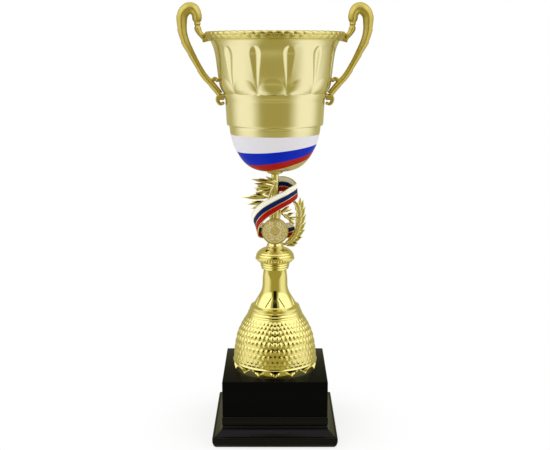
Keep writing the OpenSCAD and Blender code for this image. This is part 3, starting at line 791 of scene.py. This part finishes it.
def ribbon_enamel(s):
    """Metallised ribbon with three poured enamel bands between thin bright gold lines."""
    material = new_material("poured_enamel_ribbon")
    tree = material.node_tree
    across = add(tree, "ShaderNodeAttribute", attribute_name="across").outputs["Fac"]
    gold = linear(s.gold)
    # From the lower edge to the upper one, each colour begins at this share of the width.
    bands = [(0.04, s.red), (0.34, None), (0.375, s.blue), (0.655, None), (0.69, s.white), (0.96, None)]
    colour, metal = gold, 1.0
    for start, paint in bands:
        limits = {"Value": across, 1: start - 0.006, 2: start + 0.006}
        mask = add(tree, "ShaderNodeMapRange", limits).outputs[0]
        tone = linear(paint) if paint else gold
        bare = 0.0 if paint else 1.0
        colour = add(tree, "ShaderNodeMix", {0: mask, 6: colour, 7: tone}, data_type="RGBA").outputs[2]
        metal = add(tree, "ShaderNodeMix", {0: mask, 2: metal, 3: bare}, data_type="FLOAT").outputs[0]
    level = add(tree, "ShaderNodeBump", {"Height": metal, "Strength": 0.5, "Distance": 0.2 * MM})
    shader = add(
        tree,
        "ShaderNodeBsdfPrincipled",
        {
            "Base Color": colour,
            "Metallic": metal,
            "Roughness": 0.16,
            "Specular IOR Level": 0.12,
            "Coat Weight": 0.05,
            "Coat Roughness": 0.06,
            "Normal": level.outputs[0],
        },
    )
    add(tree, "ShaderNodeOutputMaterial", {"Surface": shader.outputs[0]})
    return material


class CUP_OT_ribbon(bpy.types.Operator):
    """The striped ribbon that winds through the figure"""

    bl_idname = "presentation_cup.ribbon"
    bl_label = "Ribbon"

    def execute(self, context):
        bm = bmesh.new()
        shares = bm.verts.layers.float.new("across")
        line = smooth(RIBBON_LINE, 10)
        n = len(line) - 1
        rows = []
        for i, p in enumerate(line):
            along = (line[min(i + 1, n)] - line[max(i - 1, 0)]).normalized()
            outward = Vector((p.x * 0.6, p.y - 3, 0)).normalized()
            wide = along.cross(outward).normalized()
            thin = along.cross(wide).normalized()
            rows.append((p + Vector((0, 0, Z_FIGURE)), wide * RIBBON_HALF, thin * 0.9))

        def flat(_, a):
            """A flat strap with round edges and a shallow crown."""
            c, s = cos(a), sin(a)
            return (1 if c > 0 else -1) * abs(c) ** 0.5, (1 if s > 0 else -1) * abs(s) ** 0.45

        sweep(bm, rows, 36, flat)
        for v in bm.verts:
            spot = min(rows, key=lambda row: (row[0] - v.co).length_squared)
            share = (v.co - spot[0]).dot(spot[1].normalized()) / RIBBON_HALF
            v[shares] = clamp(0.5 + 0.5 * share * (1 if spot[1].z > 0 else -1))
        enamel = ribbon_enamel(context.scene.cup_figure_settings)
        piece(bm, "enamel_ribbon", enamel, "ribbon_enamel", "ribbon", sharp=60)
        return {"FINISHED"}


class CUP_OT_medal(bpy.types.Operator):
    """Medal holder with its hanger, and the struck disc"""

    bl_idname = "presentation_cup.medal"
    bl_label = "Medal"

    def execute(self, context):
        s = context.scene.cup_figure_settings
        box_low, box_high = low("medal_disc"), high("medal_disc")
        centre = (box_low + box_high) / 2
        front = box_low.y
        disc_r = (box_high.x - box_low.x) / 2
        rim = disc_r + 1.1
        face = Matrix.Rotation(pi / 2, 3, "X")
        cup = [(0, -2.6), (rim - 0.4, -2.6), (rim, -2.2), (rim, -0.4), (rim - 0.3, 0), (rim - 0.75, 0)]
        cup += [(rim - 0.9, -0.3), (rim - 0.9, -1), (0, -1)]
        bm = lathe(cup, 128)
        bmesh.ops.rotate(bm, cent=(0, 0, 0), matrix=face, verts=bm.verts)
        bmesh.ops.translate(bm, vec=(0, front, centre.z), verts=bm.verts)
        made = bmesh.ops.create_cube(bm, size=1)["verts"]
        bmesh.ops.scale(bm, vec=(6, -front - 3, 12), verts=made)
        bmesh.ops.translate(bm, vec=(0, (front + 1) / 2, centre.z), verts=made)
        for k in (-1.5, -0.5, 0.5, 1.5):
            # One petal of the slotted hanger over the medal.
            made = bmesh.ops.create_uvsphere(bm, u_segments=14, v_segments=10, radius=1)["verts"]
            bmesh.ops.scale(bm, vec=(0.95, 1.1, 5.2), verts=made)
            bmesh.ops.translate(bm, vec=(0, 0, 4.6), verts=made)
            bmesh.ops.rotate(bm, cent=(0, 0, 0), matrix=Matrix.Rotation(radians(k * 5), 3, "Y"), verts=made)
            bmesh.ops.translate(bm, vec=(k * 3, front + 1.6, centre.z + rim - 1.5), verts=made)
        piece(bm, "medal_surround", mirror_gold(s.gold), "plated_gold", "medal_holder", sharp=40)

        # The struck face: a raised border, the sunk field, and a ring round the numeral.
        steps = [(0, -1), (disc_r, -1), (disc_r, -0.25), (disc_r - 0.3, -0.05)]
        steps += [(disc_r - 1.1, -0.05), (disc_r - 1.3, -0.35), (disc_r * 0.5, -0.35)]
        steps += [(disc_r * 0.48, -0.12), (disc_r * 0.44, -0.12), (disc_r * 0.42, -0.35), (0, -0.35)]
        bm = lathe(steps, 128)
        for k in range(26):
            # Laurel leaves struck round the field, meeting at the top.
            side = 1 if k % 2 else -1
            at = pi / 2 + radians(180 + side * (14 + 12.2 * (k // 2)))
            made = bmesh.ops.create_uvsphere(bm, u_segments=8, v_segments=6, radius=1)["verts"]
            bmesh.ops.scale(bm, vec=(1.9, 0.75, 0.3), verts=made)
            aim = Matrix.Rotation(at + side * 0.45, 3, "Z")
            bmesh.ops.rotate(bm, cent=(0, 0, 0), matrix=aim, verts=made)
            r = disc_r * (0.66 + 0.1 * (k // 2 % 2))
            bmesh.ops.translate(bm, vec=(r * cos(at), r * sin(at), -0.32), verts=made)
        # The raised numeral: a stem, a flag and a foot, all with bevelled edges.
        strokes = [
            ((1.5, 7.0, 0.5), (0.25, 0.1), 0.0),
            ((2.2, 1.1, 0.45), (-0.75, 2.7), 0.7),
            ((3.4, 1.0, 0.5), (0.2, -3.3), 0.0),
        ]
        for size, at, turn in strokes:
            made = bmesh.ops.create_cube(bm, size=1)["verts"]
            bmesh.ops.scale(bm, vec=size, verts=made)
            bmesh.ops.rotate(bm, cent=(0, 0, 0), matrix=Matrix.Rotation(turn, 3, "Z"), verts=made)
            bmesh.ops.translate(bm, vec=(at[0], at[1], -0.29), verts=made)
            sides = list({e for v in made for e in v.link_edges})
            bmesh.ops.bevel(
                bm, geom=sides, offset=0.14, segments=2, profile=0.5, affect="EDGES", material=-1
            )
        bmesh.ops.rotate(bm, cent=(0, 0, 0), matrix=face, verts=bm.verts)
        bmesh.ops.translate(bm, vec=(0, front, centre.z), verts=bm.verts)
        # Struck brass with a satin wash: the relief catches light, the field stays dull.
        satin = worn_metal("struck_satin_gold", s.medal, 0.34, 0.05, 2)
        piece(bm, "struck_medal", satin, "medal_gold", "medal_disc", sharp=40)
        return {"FINISHED"}


class CUP_OT_stem(bpy.types.Operator):
    """Stem of the figure and the collar under the cup"""

    bl_idname = "presentation_cup.stem"
    bl_label = "Stem and collar"

    def execute(self, context):
        gold = mirror_gold(context.scene.cup_figure_settings.gold)
        height = Z_COLLAR - Z_FIGURE
        line = outline(0, (3, 0), (9.0, 0), (9.3, 0.5), (9.3, 1.3), (8.7, 1.9))
        line += bezier((8.6, 2), (8.2, 7), (5, 8), (4.8, 15), 16)
        line += bezier((4.8, height - 24), (4.8, height - 16), (3.8, height - 14), (3.8, height - 6), 12)
        line += outline(height, (3.8, -1.4), (4.9, -0.3), (4.9, 0), (2.5, 0), (2.5, -12))
        line += outline(0, (3, 12), (3, 0))
        bm = lathe([p + Vector((0, Z_FIGURE)) for p in line], 96)
        for v in bm.verts:
            h = v.co.z - Z_FIGURE
            if 1.9 < h < 15 and hypot(v.co.x, v.co.y) > 3.5:
                # Shallow lobes round the cup-shaped foot.
                push(v.co, -0.5 * (1 - abs(cos(radians(azimuth(v.co)) * 4))) * bump(h, 6, 6))
        piece(bm, "figure_post", gold, "plated_gold", "figure_stem")
        steps = outline(Z_COLLAR, (2.7, 0), (7.3, 0), (7.6, 0.3), (8.2, 0.8), (8.0, 1.0))
        steps += outline(Z_COLLAR, (8.7, 1.6), (9.1, 2.1), (9.1, 2.5), (2.7, 2.5), (2.7, 0))
        bm = lathe(steps, 96)
        piece(bm, "collar_ring", gold, "plated_gold", "collar")
        return {"FINISHED"}


# ------------------------------------------------------------------ column ----


class ColumnSettings(bpy.types.PropertyGroup):
    studs: bpy.props.IntProperty(name="Studs", description="Number of studs in a row", default=48)
    facets: bpy.props.IntProperty(name="Facets", description="Number of facets round the neck", default=4)
    gold: bpy.props.StringProperty(name="Gold", description="Mirror gold, sRGB hex", default="#e2d57f")


# Rows of studs: height over the foot of the bell, half height of a stud, how far it stands out.
STUD_ROWS = [
    (53.3, 1.6, 0.55),
    (49.8, 1.8, 0.7),
    (45.5, 2.2, 0.85),
    (39.8, 2.7, 1.0),
    (34.0, 2.7, 1.0),
    (26.8, 2.6, 0.75),
    (20.7, 2.3, 0.6),
    (15.1, 2.1, 0.5),
    (11.5, 1.5, 0.4),
]


def bell_profile(fine):
    """Outer line of the bell from its foot to the neck, sampled finely for the relief."""
    r = high("column_bell").x
    h = Z_KNOB - Z_PLINTH
    neck = 13.0
    waist = r - 15.5
    dome = bezier((r, 0), (r - 0.5, 22), (r - 2.5, 38), (waist, h - 44), fine)
    # Three stepped rings round the waist.
    rings = outline(h, (waist - 0.4, -43.6), (waist - 0.9, -42.4), (waist - 0.9, -41.6), (waist - 1.6, -40.9))
    rings += outline(h, (waist - 2.2, -39.4), (waist - 2.2, -38.6), (waist - 2.9, -38.0))
    rings += outline(h, (waist - 3.2, -36.4), (waist - 3.4, -35.4), (waist - 4.9, -34.6))
    rise = bezier((neck + 9.2, h - 33.5), (neck + 4.4, h - 24), (neck, h - 21), (neck, h - 11), 30)
    top = [Vector((neck, h - 11 + 11 * i / 14)) for i in range(1, 15)]
    return dome + rings + rise + top


# Where the studs begin and end over the foot of the bell, and how far the ground between them lies back.
STUDS_FOOT = 9
STUDS_TOP = 56.5
STUD_GROUND = 0.9
# The row of pointed notches round the foot: how many, and their lowest and highest point.
NOTCHES = 16
NOTCH_FOOT = 2.1
NOTCH_TOP = 7.8
# Where the facets of the neck come to a point under the knob's foot, the height over which they would
# open right out, their half angle there, and how far towards a true plane they are pressed.
FACET_DROP = 10.7
FACET_RUN = 15
FACET_HALF = 44
FACET_PRESS = 0.4
# The smooth part of the neck, where a petal's edge runs down each side of a facet's middle.
PETAL_FOOT = 67.6
PETAL_TOP = 76


def facet(co, pitch, over_point):
    """Flattens the turned neck round each facet's middle; over_point is the height over the facet's point."""
    cut = FACET_HALF * over_point / FACET_RUN
    x = abs((azimuth(co) + pitch / 2) % pitch - pitch / 2)
    if x < cut:
        r = hypot(co.x, co.y)
        push(co, r * (cos(radians(cut)) / cos(radians(x)) - 1) * FACET_PRESS)


class CUP_OT_column(bpy.types.Operator):
    """The bell-shaped column and the knob on it"""

    bl_idname = "presentation_cup.column"
    bl_label = "Column"

    def execute(self, context):
        s = context.scene.cup_column_settings
        gold = mirror_gold(s.gold, "vacuum_metallised_gold_column")
        top = Z_KNOB - Z_PLINTH
        foot = outline(Z_PLINTH, (high("column_bell").x - 2.5, 0))
        shell = [p + Vector((0, Z_PLINTH)) for p in bell_profile(90)]
        bm = lathe(foot + shell + outline(Z_KNOB, (10.5, 0)), s.studs * 8)
        pitch = 360 / s.studs
        quarter = 360 / s.facets
        for v in bm.verts:
            h = v.co.z - Z_PLINTH
            a = azimuth(v.co)
            r = hypot(v.co.x, v.co.y)
            if STUDS_FOOT < h < STUDS_TOP:
                for row, (mid, half, out) in enumerate(STUD_ROWS):
                    if abs(h - mid) < half:
                        shift = pitch / 2 if row % 2 else 0.0
                        x = radians((a - shift + pitch / 2) % pitch - pitch / 2) * r
                        q = ((h - mid) / half) ** 2 + (x / (0.46 * radians(pitch) * r)) ** 2
                        if q < 1:
                            push(v.co, out * (1 - q) ** 0.8)
                push(v.co, -STUD_GROUND)
            elif h <= STUDS_FOOT:
                push(v.co, -STUD_GROUND * ease(NOTCH_TOP, STUDS_FOOT, h))
                wedge = 360 / NOTCHES
                x = abs((a + wedge / 2) % wedge - wedge / 2) / (wedge / 2)
                rise = (h - NOTCH_FOOT) / (NOTCH_TOP - NOTCH_FOOT)
                if 0 < rise < 1 and x < 0.86 * rise:
                    push(v.co, -0.42 * (NOTCH_TOP - h))
            elif h > top - FACET_DROP:
                facet(v.co, quarter, h - (top - FACET_DROP))
            elif h > PETAL_FOOT:
                x = abs((a + quarter / 2) % quarter - quarter / 2)
                edge = 13 + 15 * clamp((PETAL_TOP - h) / 9) ** 0.8
                push(v.co, -0.6 * bump(radians(x - edge) * r, 0, 0.9) * (1 - ease(75, 78, h)))
        piece(bm, "studded_bell", gold, "plated_gold", "column_bell", sharp=35)

        height = Z_FIGURE - Z_KNOB
        knob_r = high("column_knob").x
        line = outline(0, (10.3, -0.02), (13, 0), (13, 1.4), (13, 2.8), (13, 4.3), (14.0, 4.8))
        line += outline(0, (14.3, 5.5), (13.9, 6.2), (14.7, 7.0), (15.0, 7.9), (14.5, 8.7))
        line += outline(0, (15.2, 9.6), (15.5, 10.5), (15.2, 11.2))
        line += bezier((15.9, 12.0), (knob_r + 2.0, 13.0), (knob_r + 2.1, height - 4.3), (12, height), 60)
        line += outline(0, (3.2, height), (3.2, -8), (10.3, -8), (10.3, -0.02))
        bm = lathe([p + Vector((0, Z_KNOB)) for p in line], 240)
        for v in bm.verts:
            h = v.co.z - Z_KNOB
            r = hypot(v.co.x, v.co.y)
            if r < 11 or h < 0:
                continue
            # Three turned grooves over the shoulder, and a row of beads under it.
            for groove, half, deep in ((23.4, 0.55, 0.55), (20.9, 0.6, 0.7), (18.2, 0.65, 0.8)):
                push(v.co, -deep * bump(h, groove, half))
            bead = cos(radians(azimuth(v.co)) * 22) ** 2
            push(v.co, 0.7 * bump(h, 15.3, 1.7) * bead)
            if h < 4.4:
                facet(v.co, 360 / s.facets, h + FACET_DROP)
        # The beads and grooves change the widest radius, so the shoulder is brought back to it.
        biggest = max(hypot(v.co.x, v.co.y) for v in bm.verts)
        for v in bm.verts:
            r = hypot(v.co.x, v.co.y)
            if r > 16:
                push(v.co, (r - 16) * ((knob_r - 16) / (biggest - 16) - 1))
        piece(bm, "turned_knob", gold, "plated_gold", "column_knob", sharp=35)
        return {"FINISHED"}


# ------------------------------------------------------------------ plinth ----


class PlinthSettings(bpy.types.PropertyGroup):
    black: bpy.props.StringProperty(name="Black", description="Block, sRGB hex", default="#0a0a0a")
    skirt: bpy.props.StringProperty(name="Skirt", description="Foot moulding, sRGB hex", default="#0c0c0c")
    edge: bpy.props.FloatProperty(
        name="Edge", description="Radius of the moulded edges", default=0.9 * MM, unit="LENGTH"
    )


def polished_black(name, colour, specular):
    """Moulded polystyrene, black right through: a quiet gloss that drifts a little from place to place."""
    material = new_material(name)
    tree = material.node_tree
    place = add(tree, "ShaderNodeTexCoord").outputs["Object"]
    haze = add(tree, "ShaderNodeTexNoise", {"Vector": place, "Scale": 1 / (22 * MM), "Detail": 4.0})
    gloss = add(tree, "ShaderNodeMapRange", {"Value": haze.outputs[0], 1: 0.3, 2: 0.7, 3: 0.14, 4: 0.22})
    shader = add(
        tree,
        "ShaderNodeBsdfPrincipled",
        {
            "Base Color": linear(colour),
            "Roughness": gloss.outputs[0],
            "IOR": 1.5,
            "Specular IOR Level": specular,
        },
    )
    add(tree, "ShaderNodeOutputMaterial", {"Surface": shader.outputs[0]})
    return material


def square_ring(bm, width, z):
    """One square loop of four vertices, as edges."""
    h = width / 2
    verts = [bm.verts.new((x * h, y * h, z)) for x, y in ((-1, -1), (1, -1), (1, 1), (-1, 1))]
    return [bm.edges.new((verts[i], verts[(i + 1) % 4])) for i in range(4)]


def moulding(rows, top, bottom, edge):
    """A square moulding through (width, height) loops, closed at the ends that are asked for."""
    bm = bmesh.new()
    loops = [square_ring(bm, w, z) for w, z in rows]
    for a, b in zip(loops, loops[1:]):
        bmesh.ops.bridge_loops(bm, edges=a + b)
    for wanted, loop in ((bottom, loops[0]), (top, loops[-1])):
        if wanted:
            bmesh.ops.holes_fill(bm, edges=loop, sides=0)
    bmesh.ops.recalc_face_normals(bm, faces=bm.faces)
    upright = [e for e in bm.edges if abs(e.verts[0].co.z - e.verts[1].co.z) > 0.01]
    level = [e for e in bm.edges if e not in upright and len(e.link_faces) == 2]
    crisp = [e for e in level if e.calc_face_angle(0) > 0.9]
    bmesh.ops.bevel(
        bm, geom=upright + crisp, offset=edge, segments=4, profile=0.5, affect="EDGES", material=-1
    )
    return bm


class CUP_OT_plinth(bpy.types.Operator):
    """The square block and its moulded foot"""

    bl_idname = "presentation_cup.plinth"
    bl_label = "Plinth"

    def execute(self, context):
        s = context.scene.cup_plinth_settings
        black = polished_black("polished_black_polystyrene", s.black, 0.02)
        skirt = polished_black("moulded_black_polystyrene_skirt", s.skirt, 0.14)
        block_w = high("plinth_block").x * 2
        foot_w = high("plinth_foot").x * 2
        z_block = low("plinth_block").z
        z_foot = low("plinth_foot").z
        cove = 8
        z_slab = z_block - cove
        z_band = z_block + 11
        rows = [(block_w - 1.6, z_band - 0.4), (block_w, z_band), (block_w, Z_PLINTH)]
        bm = moulding(rows, True, False, s.edge / MM)
        piece(bm, "plinth_cube", black, "plinth_black", "plinth_block", sharp=45)
        # The slab, with its lower edge drawn in.
        rows = [(foot_w - 5.4, z_foot), (foot_w - 2.4, z_foot + 2), (foot_w, z_foot + 6)]
        rows += [(foot_w, z_slab), (foot_w - 3.4, z_slab + 0.6)]
        steps = 12
        for i in range(steps + 1):
            t = i / steps
            inward = 1 - sin(pi / 2 * t)
            rows.append((block_w + 0.6 + (foot_w - 4.4 - block_w) * inward, z_slab + 0.01 + cove * t))
        # A groove, and the low band that stands against the block.
        rows += [(block_w - 0.6, z_block + 0.4), (block_w - 0.6, z_block + 1.4), (block_w + 1.2, z_block + 2)]
        rows += [(block_w + 1.0, z_band - 0.8), (block_w - 1.4, z_band - 0.2)]
        bm = moulding(rows, False, False, s.edge / MM * 0.8)
        piece(bm, "plinth_skirt", skirt, "plinth_black", "plinth_foot", sharp=45)
        return {"FINISHED"}


# ------------------------------------------------------------ plain pieces ----


def grained(name, hollow, crest, grain, detail, shader_inputs, relief=0.0, strength=0.0):
    """A grained material between two colours; grain and relief are in millimetres."""
    material = new_material(name)
    tree = material.node_tree
    place = add(tree, "ShaderNodeTexCoord").outputs["Object"]
    noise = add(tree, "ShaderNodeTexNoise", {"Vector": place, "Scale": 1 / (grain * MM), **detail}).outputs[0]
    inputs = dict(shader_inputs)
    if relief:
        rough = add(tree, "ShaderNodeBump", {"Height": noise, "Strength": strength, "Distance": relief * MM})
        inputs["Normal"] = rough.outputs[0]
    if hollow == crest:
        inputs["Base Color"] = linear(crest)
    else:
        tone = add(tree, "ShaderNodeMix", {0: noise, 6: linear(hollow), 7: linear(crest)}, data_type="RGBA")
        inputs["Base Color"] = tone.outputs[2]
    shader = add(tree, "ShaderNodeBsdfPrincipled", inputs)
    add(tree, "ShaderNodeOutputMaterial", {"Surface": shader.outputs[0]})
    return material


def zinc_plate():
    """Zinc plated steel: a cool grey with a fine crystal mottle."""
    return worn_metal("zinc_plated_steel", "#b9bec4", 0.3, 0.08, 1.2)


def cast_iron():
    """Sand cast iron: dark, dry and grainy."""
    finish = {"Metallic": 1.0, "Roughness": 0.65}
    return grained("sand_cast_iron", "#4a4846", "#4a4846", 0.8, {"Detail": 4.0}, finish, 0.3, 0.6)


def hardboard():
    """Hardboard: pressed brown fibre with a mottle about a millimetre across."""
    return grained("pressed_hardboard", "#4a3626", "#6f563c", 1.1, {"Detail": 5.0}, {"Roughness": 0.75})


def black_felt():
    """Needled wool felt: matt black fibres with a soft sheen at the edge."""
    finish = {"Roughness": 0.95, "Sheen Weight": 0.3}
    hair = {"Detail": 5.0, "Roughness": 0.7}
    return grained("needled_black_felt", "#141414", "#2c2c2c", 0.5, hair, finish, 0.2, 0.8)


class CUP_OT_fixings(bpy.types.Operator):
    """Finishes of the screws, washers, nuts, rod, ballast, board and felt"""

    bl_idname = "presentation_cup.fixings"
    bl_label = "Fixings and underside"

    def execute(self, context):
        zinc = zinc_plate()
        finish_cad(zinc, "handle_screws", "handle_washers", "cup_washer", "cup_nut", "cup_stud", "tie_rod")
        finish_cad(zinc, "base_washer", "base_nut", "board_screws")
        finish_cad(cast_iron(), "ballast")
        finish_cad(hardboard(), "closing_board")
        finish_cad(black_felt(), "felt_pad")
        return {"FINISHED"}


# ------------------------------------------------------------------- stage ----


class StageSettings(bpy.types.PropertyGroup):
    distance: bpy.props.FloatProperty(
        name="Distance", description="Camera in front of the axis", default=0.9138, unit="LENGTH"
    )
    height: bpy.props.FloatProperty(
        name="Height", description="Camera over the table", default=0.3939, unit="LENGTH"
    )
    tilt: bpy.props.FloatProperty(
        name="Tilt", description="Camera's downward tilt", default=radians(10.88), subtype="ANGLE"
    )
    lens: bpy.props.FloatProperty(
        name="Lens", description="Focal length in mm on a 36 mm sensor", default=58.82
    )


def studio_light(scene):
    """A light tent: bright cloth at the sides and overhead, a duller front, and a slot at the camera."""
    world = bpy.data.worlds.new("light_tent")
    world.use_nodes = True
    scene.world = world
    tree = world.node_tree
    tree.nodes.clear()
    way = add(tree, "ShaderNodeTexCoord").outputs["Generated"]
    x, y, z = add(tree, "ShaderNodeSeparateXYZ", {0: way}).outputs
    back = add(tree, "ShaderNodeMath", {0: y, 1: -1.0}, operation="MULTIPLY")
    round_ = add(tree, "ShaderNodeMath", {0: x, 1: back.outputs[0]}, operation="ARCTAN2")
    off = add(tree, "ShaderNodeMath", {0: round_.outputs[0]}, operation="ABSOLUTE").outputs[0]
    up = add(tree, "ShaderNodeMath", {0: z}, operation="ARCSINE").outputs[0]

    colour = linear("#bfba8e")
    # Each layer: its colour and strength, then soft limits in degrees round from the camera and up.
    everywhere = ((-2, -1), (181, 182))
    layers = [
        # Cloth at both sides.
        ((1.1, 1.1, 1.14), (31, 62), (88, 130), (-90, -89), (89, 90)),
        # The duller front, and a paler strip of it below the lens.
        ((0.42, 0.38, 0.15), (-2, -1), (31, 36), (-90, -89), (30, 42)),
        ((0.6, 0.55, 0.32), (-2, -1), (31, 36), (-29, -25), (-21, -18)),
        # The roof.
        ((1.15, 1.15, 1.12), *everywhere, (52, 62), (91, 92)),
        # Lamps behind the side cloth.
        ((1.5, 1.55, 1.8), (24, 34), (100, 130), (12, 25), (50, 70)),
        # The dark slot over the lens.
        ((0.01, 0.01, 0.006), (-2, -1), (13, 17), (8, 12), (46, 52)),
    ]
    for tint, start, end, foot, top in layers:
        mask = 1.0
        for source, (a, b), before in ((off, start, 0.0), (off, end, 1.0), (up, foot, 0.0), (up, top, 1.0)):
            inputs = {"Value": source, 1: radians(a), 2: radians(b), 3: before, 4: 1.0 - before}
            part = add(tree, "ShaderNodeMapRange", inputs, interpolation_type="SMOOTHSTEP")
            mask = add(tree, "ShaderNodeMath", {0: mask, 1: part.outputs[0]}, operation="MULTIPLY").outputs[0]
        inputs = {0: mask, 6: colour, 7: (*tint, 1.0)}
        colour = add(tree, "ShaderNodeMix", inputs, data_type="RGBA").outputs[2]
    tent = add(tree, "ShaderNodeBackground", {"Color": colour, "Strength": 1.0})
    plain = add(tree, "ShaderNodeBackground", {"Color": linear("#ffffff"), "Strength": 1.0})
    seen = add(tree, "ShaderNodeLightPath").outputs["Is Camera Ray"]
    both = add(tree, "ShaderNodeMixShader", {0: seen, 1: tent.outputs[0], 2: plain.outputs[0]})
    add(tree, "ShaderNodeOutputWorld", {"Surface": both.outputs[0]})


def paper_floor():
    """Seamless white paper: it takes soft shadows near the cup and runs out to plain white."""
    material = new_material("seamless_white_paper")
    tree = material.node_tree
    place = add(tree, "ShaderNodeTexCoord").outputs["Object"]
    far = add(tree, "ShaderNodeVectorMath", {0: place}, operation="LENGTH")
    limits = {"Value": far.outputs["Value"], 1: 0.05, 2: 0.16, 3: 0.75, 4: 1.0}
    fade = add(tree, "ShaderNodeMapRange", limits, interpolation_type="SMOOTHSTEP")
    paper = add(tree, "ShaderNodeBsdfPrincipled", {"Base Color": linear("#f6f5f3"), "Roughness": 0.9})
    white = add(tree, "ShaderNodeEmission", {"Color": linear("#ffffff"), "Strength": 1.0})
    both = add(tree, "ShaderNodeMixShader", {0: fade.outputs[0], 1: paper.outputs[0], 2: white.outputs[0]})
    add(tree, "ShaderNodeOutputMaterial", {"Surface": both.outputs[0]})
    return material


class CUP_OT_stage(bpy.types.Operator):
    """Floor, light tent and camera"""

    bl_idname = "presentation_cup.stage"
    bl_label = "Stage"

    def execute(self, context):
        scene = context.scene
        s = scene.cup_stage_settings
        bm = bmesh.new()
        bmesh.ops.create_circle(bm, cap_ends=True, segments=96, radius=6)
        mesh = bpy.data.meshes.new("paper_floor")
        bm.to_mesh(mesh)
        bm.free()
        mesh.materials.append(paper_floor())
        floor = bpy.data.objects.new("paper_floor", mesh)
        scene.collection.objects.link(floor)
        # The metal mirrors the tent's own table instead of the white paper.
        floor.visible_glossy = False
        studio_light(scene)
        camera = bpy.data.objects.new("front_camera", bpy.data.cameras.new("front_camera"))
        scene.collection.objects.link(camera)
        camera.location = (0, -s.distance, s.height)
        camera.rotation_euler = (pi / 2 - s.tilt, 0, 0)
        camera.data.lens = s.lens
        camera.data.clip_start = 0.01
        scene.camera = camera
        scene.view_settings.view_transform = "Standard"
        return {"FINISHED"}


# ------------------------------------------------------------------- panel ----

OPERATORS = (
    CUP_OT_plinth,
    CUP_OT_column,
    CUP_OT_stem,
    CUP_OT_laurels,
    CUP_OT_ribbon,
    CUP_OT_medal,
    CUP_OT_lower_cup,
    CUP_OT_bowl,
    CUP_OT_rim,
    CUP_OT_handles,
    CUP_OT_fixings,
    CUP_OT_stage,
)
SETTINGS = {
    "cup_bowl_settings": BowlSettings,
    "cup_rim_settings": RimSettings,
    "cup_lower_settings": LowerCupSettings,
    "cup_handle_settings": HandleSettings,
    "cup_figure_settings": FigureSettings,
    "cup_column_settings": ColumnSettings,
    "cup_plinth_settings": PlinthSettings,
    "cup_stage_settings": StageSettings,
}


class CUP_PT_sidebar(bpy.types.Panel):
    """Lists the pieces of the cup and their settings"""

    bl_idname = "CUP_PT_sidebar"
    bl_label = "Presentation Cup"
    bl_space_type = "VIEW_3D"
    bl_region_type = "UI"
    bl_category = "Cup"

    def draw(self, context):
        for op in OPERATORS:
            self.layout.operator(op.bl_idname)
        for name, group in SETTINGS.items():
            box = self.layout.box()
            for key in group.__annotations__:
                box.prop(getattr(context.scene, name), key)


def register():
    for cls in (*SETTINGS.values(), *OPERATORS, CUP_PT_sidebar):
        bpy.utils.register_class(cls)
    for name, group in SETTINGS.items():
        setattr(bpy.types.Scene, name, bpy.props.PointerProperty(type=group))


def unregister():
    for name in SETTINGS:
        delattr(bpy.types.Scene, name)
    for cls in (CUP_PT_sidebar, *reversed(OPERATORS), *reversed(list(SETTINGS.values()))):
        bpy.utils.unregister_class(cls)


def main():
    register()
    for op in OPERATORS:
        group, call = op.bl_idname.split(".")
        getattr(getattr(bpy.ops, group), call)()


if __name__ == "__main__":
    main()
